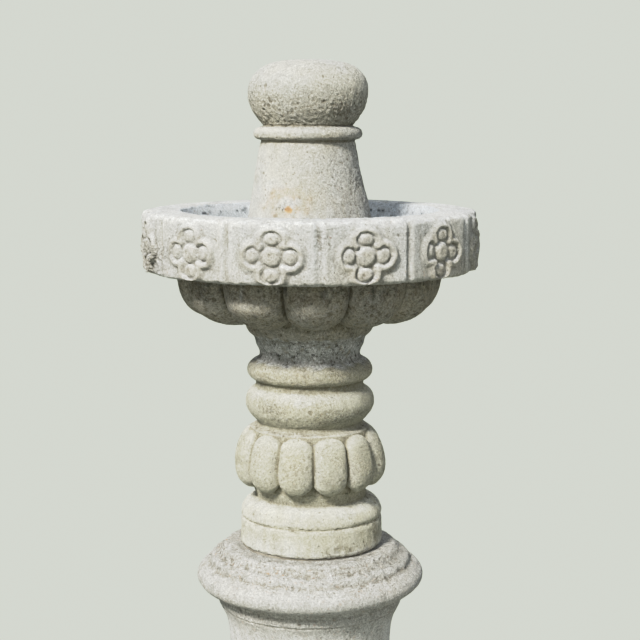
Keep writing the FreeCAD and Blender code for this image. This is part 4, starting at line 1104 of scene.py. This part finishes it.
def stone(name, warm, cool, speck=1.0, coarse=1.0, lime_and_painted_light_col=None):
    g = Graph(name)
    amp = g.attr("amp")
    big = g.noise(9.0, 4.0, 0.6)
    mid = g.noise(42.0, 5.0, 0.62)
    blot = g.noise(95.0, 5.0, 0.68)
    fine = g.noise(350.0, 4.0, 0.70)
    sand = g.noise(760.0, 3.0, 0.65)
    streak = g.noise(1.0, 4.0, 0.6, vec=g.mapping((85.0, 85.0, 9.0)))
    col = g.mix(g.ramp(big, 0.36, 0.64), warm, cool)
    col = g.mix(g.math("MULTIPLY", g.ramp(blot, 0.50, 0.72), g.math("MULTIPLY", amp, 0.30)), col, lin(186, 178, 156))
    # warm staining, lime bloom that on the finial's shaded side is painted light, grey-black growth mixed with painted
    # shade in hollows and under overhangs
    rust = g.attr("rust")
    r_f = g.math("MULTIPLY", rust, g.ramp(mid, 0.30, 0.62, 0.40, 1.0), clamp=True)
    col = g.mix(g.math("MULTIPLY", r_f, 0.50), col, lin(182, 168, 136))
    lime_and_painted_light = g.attr("lime_and_painted_light")
    l_f = g.math("MULTIPLY", lime_and_painted_light, g.ramp(streak, 0.34, 0.62, 0.30, 1.0), clamp=True)
    col = g.mix(g.math("MULTIPLY", l_f, 0.85), col, lime_and_painted_light_col or lin(216, 217, 214))
    grime_and_shade = g.attr("grime_and_shade")
    gm = g.math("MULTIPLY", grime_and_shade, g.ramp(g.noise(150.0, 5.0, 0.72), 0.38, 0.62, 0.40, 1.0), clamp=True)
    col = g.mix(g.math("MULTIPLY", gm, 0.86), col, lin(128, 122, 104))
    blue = g.math("MULTIPLY", grime_and_shade, g.ramp(g.noise(85.0, 4.0, 0.65), 0.54, 0.70), clamp=True)
    col = g.mix(g.math("MULTIPLY", blue, 0.60), col, lin(150, 153, 154))
    ink = g.math("MULTIPLY", g.ramp(grime_and_shade, 0.25, 0.8), g.ramp(g.noise(240.0, 3.0, 0.6), 0.57, 0.66), clamp=True)
    col = g.mix(g.math("MULTIPLY", ink, 0.70), col, lin(52, 50, 46))
    neck = g.attr("neck")
    n_a, n_b, n_c = g.noise(64.0, 4.0, 0.62), g.noise(210.0, 4.0, 0.68), g.noise(150.0, 4.0, 0.70)
    ncol = g.mix(g.ramp(n_a, 0.38, 0.62), lin(242, 243, 241), lin(206, 208, 205))
    ncol = g.mix(g.math("MULTIPLY", g.ramp(n_a, 0.56, 0.70), 0.6), ncol, lin(190, 176, 146))
    ncol = g.mix(g.ramp(n_b, 0.56, 0.66), ncol, lin(240, 240, 236))
    ncol = g.mix(g.math("MULTIPLY", g.ramp(n_c, 0.54, 0.64), 0.85), ncol, lin(88, 86, 80))
    col = g.mix(neck, col, ncol)
    # bluish tint: partly lime colour, partly painted sky-blue shade in the dish
    col = g.mix(g.math("MULTIPLY", g.attr("bluish_lime_and_sky_shade"), 0.78), col, lin(226, 236, 247))
    # sand and aggregate
    k_f = g.math("ADD", g.math("MULTIPLY", amp, 0.42), 0.42, clamp=True)
    col = g.mix(k_f, col, g.mix(g.ramp(fine, 0.32, 0.68), (0.60, 0.585, 0.555), (1.24, 1.24, 1.24)), "MULTIPLY")
    col = g.mix(g.math("MULTIPLY", k_f, 0.85), col, g.mix(g.ramp(sand, 0.34, 0.66), (0.60, 0.59, 0.57), (1.26, 1.26, 1.26)), "MULTIPLY")
    n = g.t.nodes.new("ShaderNodeVectorMath")
    n.operation = "ADD"
    wv = g.t.nodes.new("ShaderNodeTexNoise")
    wv.inputs["Scale"].default_value = 300.0
    g.link(g.co, wv.inputs["Vector"])
    sc = g.t.nodes.new("ShaderNodeVectorMath")
    sc.operation = "SCALE"
    sc.inputs["Scale"].default_value = 0.006
    g.link(wv.outputs["Color"], sc.inputs[0])
    g.link(g.co, n.inputs[0])
    g.link(sc.outputs[0], n.inputs[1])
    wco = n.outputs[0]
    v = g.voronoi(230.0, out="Distance", vec=wco)
    vc = g.voronoi(230.0, out="Color", vec=wco)
    sep = g.t.nodes.new("ShaderNodeSeparateColor")
    g.link(vc, sep.inputs[0])
    dot = g.ramp(v, 0.36, 0.22)
    dark = g.math("MULTIPLY", dot, g.ramp(sep.outputs[0], 0.940 - 0.025 * speck, 0.965 - 0.01 * speck))
    tan = g.math("MULTIPLY", dot, g.ramp(sep.outputs[1], 0.975, 0.985))
    white = g.math("MULTIPLY", dot, g.ramp(sep.outputs[2], 0.90, 0.93))
    col = g.mix(g.math("MULTIPLY", dark, 0.62), col, lin(92, 92, 90))
    col = g.mix(g.math("MULTIPLY", tan, 0.30 * speck), col, lin(178, 134, 96))
    col = g.mix(g.math("MULTIPLY", white, 0.40), col, lin(230, 229, 224))
    # small pits: irregular, gathered in patches
    patch = g.ramp(mid, 0.44, 0.62)
    tiny = g.math("MULTIPLY", g.ramp(g.noise(420.0, 2.0, 0.55, vec=wco), 0.60, 0.70), g.math("ADD", g.math("MULTIPLY", patch, 0.80), 0.10))
    tiny = g.math("MULTIPLY", tiny, amp, clamp=True)
    col = g.mix(g.math("MULTIPLY", tiny, 0.62), col, lin(100, 93, 76))
    pit = g.attr("pit")
    col = g.mix(g.math("MULTIPLY", g.ramp(pit, 0.08, 0.65), 0.50), col, lin(108, 101, 84))
    # creases darkened by concavity: partly dirt settled there, partly painted shade in the hollows
    cav = g.attr("cav")
    deep = g.attr("deep")
    c1 = g.math("MULTIPLY", g.ramp(cav, 0.12, 0.85), g.ramp(blot, 0.28, 0.60, 0.55, 1.0))
    col = g.mix(g.math("MULTIPLY", c1, g.math("ADD", g.math("MULTIPLY", amp, 0.22), 0.10)), col, lin(118, 110, 90))
    c2 = g.math("MULTIPLY", g.ramp(deep, 0.15, 0.95), g.ramp(blot, 0.30, 0.62, 0.45, 1.0))
    c2 = g.math("MULTIPLY", c2, g.math("SUBTRACT", 1.0, g.math("MULTIPLY", lime_and_painted_light, 0.75)), clamp=True)
    col = g.mix(g.math("MULTIPLY", c2, g.math("ADD", g.math("MULTIPLY", rust, 0.40), 0.14)), col, lin(112, 104, 82))
    worn = g.ramp(cav, -0.15, -0.9)
    col = g.mix(g.math("MULTIPLY", worn, 0.35), col, g.mix(0.5, col, lin(232, 230, 222)))
    chip = g.attr("chip")
    col = g.mix(g.math("MULTIPLY", g.ramp(chip, 0.25, 0.8), 0.30), col, lin(198, 190, 168))
    col = g.mix(g.math("MULTIPLY", g.attr("ochre"), g.ramp(mid, 0.30, 0.55, 0.5, 0.95)), col, lin(206, 158, 112))
    col = g.mix(g.math("MULTIPLY", g.attr("ink"), g.ramp(fine, 0.30, 0.60, 0.55, 1.0)), col, lin(44, 44, 46))
    g.link(col, g.bsdf.inputs["Base Color"])
    g.link(g.ramp(fine, 0.3, 0.7, 0.88, 0.98), g.bsdf.inputs["Roughness"])
    g.bsdf.inputs["Specular IOR Level"].default_value = 0.20
    g.bsdf.inputs["Diffuse Roughness"].default_value = 1.0
    ridge = g.math("ABSOLUTE", g.math("SUBTRACT", g.noise(210.0, 3.0, 0.6, vec=wco), 0.5))
    crev = g.math("MULTIPLY", g.ramp(ridge, 0.05, 0.0), g.ramp(blot, 0.44, 0.62))
    h = g.math("ADD", g.math("MULTIPLY", fine, 1.4 * coarse), g.math("MULTIPLY", sand, 0.75))
    h = g.math("ADD", h, g.math("MULTIPLY", blot, 0.7 * coarse))
    h = g.math("SUBTRACT", h, g.math("MULTIPLY", tiny, 1.3 * coarse))
    h = g.math("SUBTRACT", h, g.math("MULTIPLY", crev, 0.50 * coarse))
    h = g.math("MULTIPLY", h, g.math("ADD", g.math("MULTIPLY", amp, 0.75), 0.25))
    g.link(g.bump(h, 0.0036, 1.0), g.bsdf.inputs["Normal"])
    return g.mat


stone_basin = stone("stone_basin", lin(200, 197, 184), lin(192, 191, 184), lime_and_painted_light_col=lin(243, 245, 245))
stone_stem = stone("stone_stem", lin(196, 192, 168), lin(194, 192, 173), speck=0.7, coarse=0.95, lime_and_painted_light_col=lin(222, 221, 210))
stone_finial = stone("stone_finial", lin(199, 196, 181), lin(196, 196, 188), coarse=1.1, lime_and_painted_light_col=lin(222, 222, 217))
stone_pedestal = stone("stone_pedestal", lin(200, 196, 184), lin(194, 193, 185), speck=1.5, coarse=1.15, lime_and_painted_light_col=lin(234, 233, 227))
stone_plinth = stone("stone_plinth", lin(184, 181, 170), lin(182, 183, 178), speck=1.3, coarse=1.1, lime_and_painted_light_col=lin(216, 217, 214))
for ob, mat in ((basin, stone_basin), (bed, stone_stem), (stem, stone_stem), (finial, stone_finial), (pedestal, stone_pedestal), (plinth, stone_plinth)):
    ob.data.materials.append(mat)


def mortar():
    g = Graph("lime_mortar")
    a, b, c = g.noise(60.0, 4.0, 0.6), g.noise(420.0, 3.0, 0.6), g.voronoi(260.0)
    col = g.mix(g.ramp(a, 0.35, 0.65), lin(120, 114, 100), lin(152, 146, 130))
    col = g.mix(0.5, col, g.mix(g.ramp(b, 0.3, 0.7), (0.7, 0.7, 0.7), (1.1, 1.1, 1.1)), "MULTIPLY")
    col = g.mix(g.math("MULTIPLY", g.ramp(c, 0.22, 0.10), 0.5), col, lin(70, 66, 58))
    g.link(col, g.bsdf.inputs["Base Color"])
    g.link(g.ramp(b, 0.3, 0.7, 0.88, 0.98), g.bsdf.inputs["Roughness"])
    g.link(g.bump(g.math("ADD", b, a), 0.0010, 0.8), g.bsdf.inputs["Normal"])
    return g.mat


def metal(name, base, dark, tarnish, rough=(0.28, 0.5), metallic=0.95, turned_rings=True, patina=0.5):
    g = Graph(name)
    a, b = g.noise(55.0, 4.0, 0.6), g.noise(600.0, 3.0, 0.6)
    rings = g.noise(1.0, 2.0, 0.5, vec=g.mapping((6.0, 6.0, 1800.0))) if turned_rings else b
    col = g.mix(g.ramp(a, 0.35, 0.68), base, dark)
    spot = g.ramp(g.noise(130.0, 5.0, 0.65), 0.56, 0.70)
    col = g.mix(g.math("MULTIPLY", spot, patina), col, tarnish)
    g.link(col, g.bsdf.inputs["Base Color"])
    g.bsdf.inputs["Metallic"].default_value = metallic
    r = g.math("ADD", g.ramp(a, 0.3, 0.7, rough[0], rough[1]), g.math("MULTIPLY", spot, 0.3), clamp=True)
    g.link(r, g.bsdf.inputs["Roughness"])
    g.link(g.bump(g.math("ADD", g.math("MULTIPLY", rings, 0.6), g.math("MULTIPLY", b, 0.5)), 0.0002, 0.5), g.bsdf.inputs["Normal"])
    return g.mat


def plain(name, a_col, b_col, scale, rough, height=0.0003):
    g = Graph(name)
    a, b = g.noise(scale, 4.0, 0.6), g.noise(scale * 9.0, 3.0, 0.6)
    col = g.mix(g.ramp(a, 0.35, 0.66), a_col, b_col)
    col = g.mix(0.4, col, g.mix(g.ramp(b, 0.3, 0.7), (0.75, 0.75, 0.75), (1.1, 1.1, 1.1)), "MULTIPLY")
    g.link(col, g.bsdf.inputs["Base Color"])
    g.link(g.ramp(b, 0.3, 0.7, rough - 0.08, rough + 0.08), g.bsdf.inputs["Roughness"])
    g.link(g.bump(b, height, 0.6), g.bsdf.inputs["Normal"])
    return g.mat


mats = {
    "mortar": mortar(),
    "aged_brass": metal("aged_brass", lin(176, 142, 84), lin(128, 98, 54), lin(92, 110, 88)),
    "copper": metal("browned_copper", lin(170, 104, 74), lin(116, 68, 48), lin(88, 120, 104), patina=0.35),
    "stainless_steel": metal("drawn_steel", lin(176, 176, 178), lin(150, 150, 152), lin(120, 118, 112), rough=(0.25, 0.4), patina=0.2),
    "lead": metal("grey_lead", lin(112, 114, 120), lin(86, 88, 94), lin(150, 150, 150), rough=(0.55, 0.75), metallic=0.6, turned_rings=False),
    "black_rubber": plain("black_rubber", lin(34, 34, 35), lin(48, 47, 46), 90.0, 0.75),
    "red_fibre": plain("red_fibre", lin(122, 52, 38), lin(96, 40, 30), 120.0, 0.8),
    "grey_plastic": plain("grey_plastic", lin(120, 124, 128), lin(104, 108, 112), 70.0, 0.5),
}
slots = {s["node"]: s["material_slot"] for s in frame["record"]["subparts"]}
replaced = {"basin", "stem", "finial", "pedestal", "plinth", "basin_bed"}
for name, ob in frame["nodes"].items():
    if name in replaced:
        continue
    m = mats.get(slots.get(name))
    if m is None:
        continue
    if not ob.material_slots:
        ob.data.materials.append(m)
    for s in ob.material_slots:
        s.material = m

# =============================================================================================
# stage
# =============================================================================================
fl = bpy.data.meshes.new("floor")
n = 96
ringr = (0.0, 0.5, 1.0, 2.0, 4.0, 8.0, 40.0)
vs = [(0.0, 0.0, 0.0)]
for r in ringr[1:]:
    for i in range(n):
        a = 2 * math.pi * i / n
        vs.append((r * math.cos(a), r * math.sin(a), 0.0))
fs = [(0, 1 + i, 1 + (i + 1) % n) for i in range(n)]
for k in range(len(ringr) - 2):
    b0, b1 = 1 + k * n, 1 + (k + 1) * n
    fs += [(b0 + i, b1 + i, b1 + (i + 1) % n, b0 + (i + 1) % n) for i in range(n)]
fl.from_pydata(vs, [], fs)
fl.update()
floor = bpy.data.objects.new("floor", fl)
scene.collection.objects.link(floor)
floor.location.z = -0.0005
fm = bpy.data.materials.new("floor_pale")
fm.use_nodes = True
ft = fm.node_tree
ft.nodes.clear()
fo = ft.nodes.new("ShaderNodeOutputMaterial")
dif = ft.nodes.new("ShaderNodeBsdfDiffuse")
dif.inputs["Color"].default_value = (0.60, 0.63, 0.58, 1)
emi = ft.nodes.new("ShaderNodeEmission")
emi.inputs["Color"].default_value = BACK
lp = ft.nodes.new("ShaderNodeLightPath")
ls = ft.nodes.new("ShaderNodeMapRange")
ls.inputs["To Min"].default_value = 0.46
ls.inputs["To Max"].default_value = 1.0
ft.links.new(lp.outputs["Is Camera Ray"], ls.inputs["Value"])
ft.links.new(ls.outputs["Result"], emi.inputs["Strength"])
mixs = ft.nodes.new("ShaderNodeMixShader")
tc = ft.nodes.new("ShaderNodeTexCoord")
ln = ft.nodes.new("ShaderNodeVectorMath"); ln.operation = "LENGTH"
mr = ft.nodes.new("ShaderNodeMapRange")
mr.interpolation_type = "SMOOTHSTEP"
mr.inputs["From Min"].default_value = 0.35
mr.inputs["From Max"].default_value = 0.75
ft.links.new(tc.outputs["Object"], ln.inputs[0])
ft.links.new(ln.outputs["Value"], mr.inputs["Value"])
ft.links.new(mr.outputs["Result"], mixs.inputs[0])
ft.links.new(dif.outputs[0], mixs.inputs[1])
ft.links.new(emi.outputs[0], mixs.inputs[2])
ft.links.new(mixs.outputs[0], fo.inputs["Surface"])
fl.materials.append(fm)

bpy.context.view_layer.update()
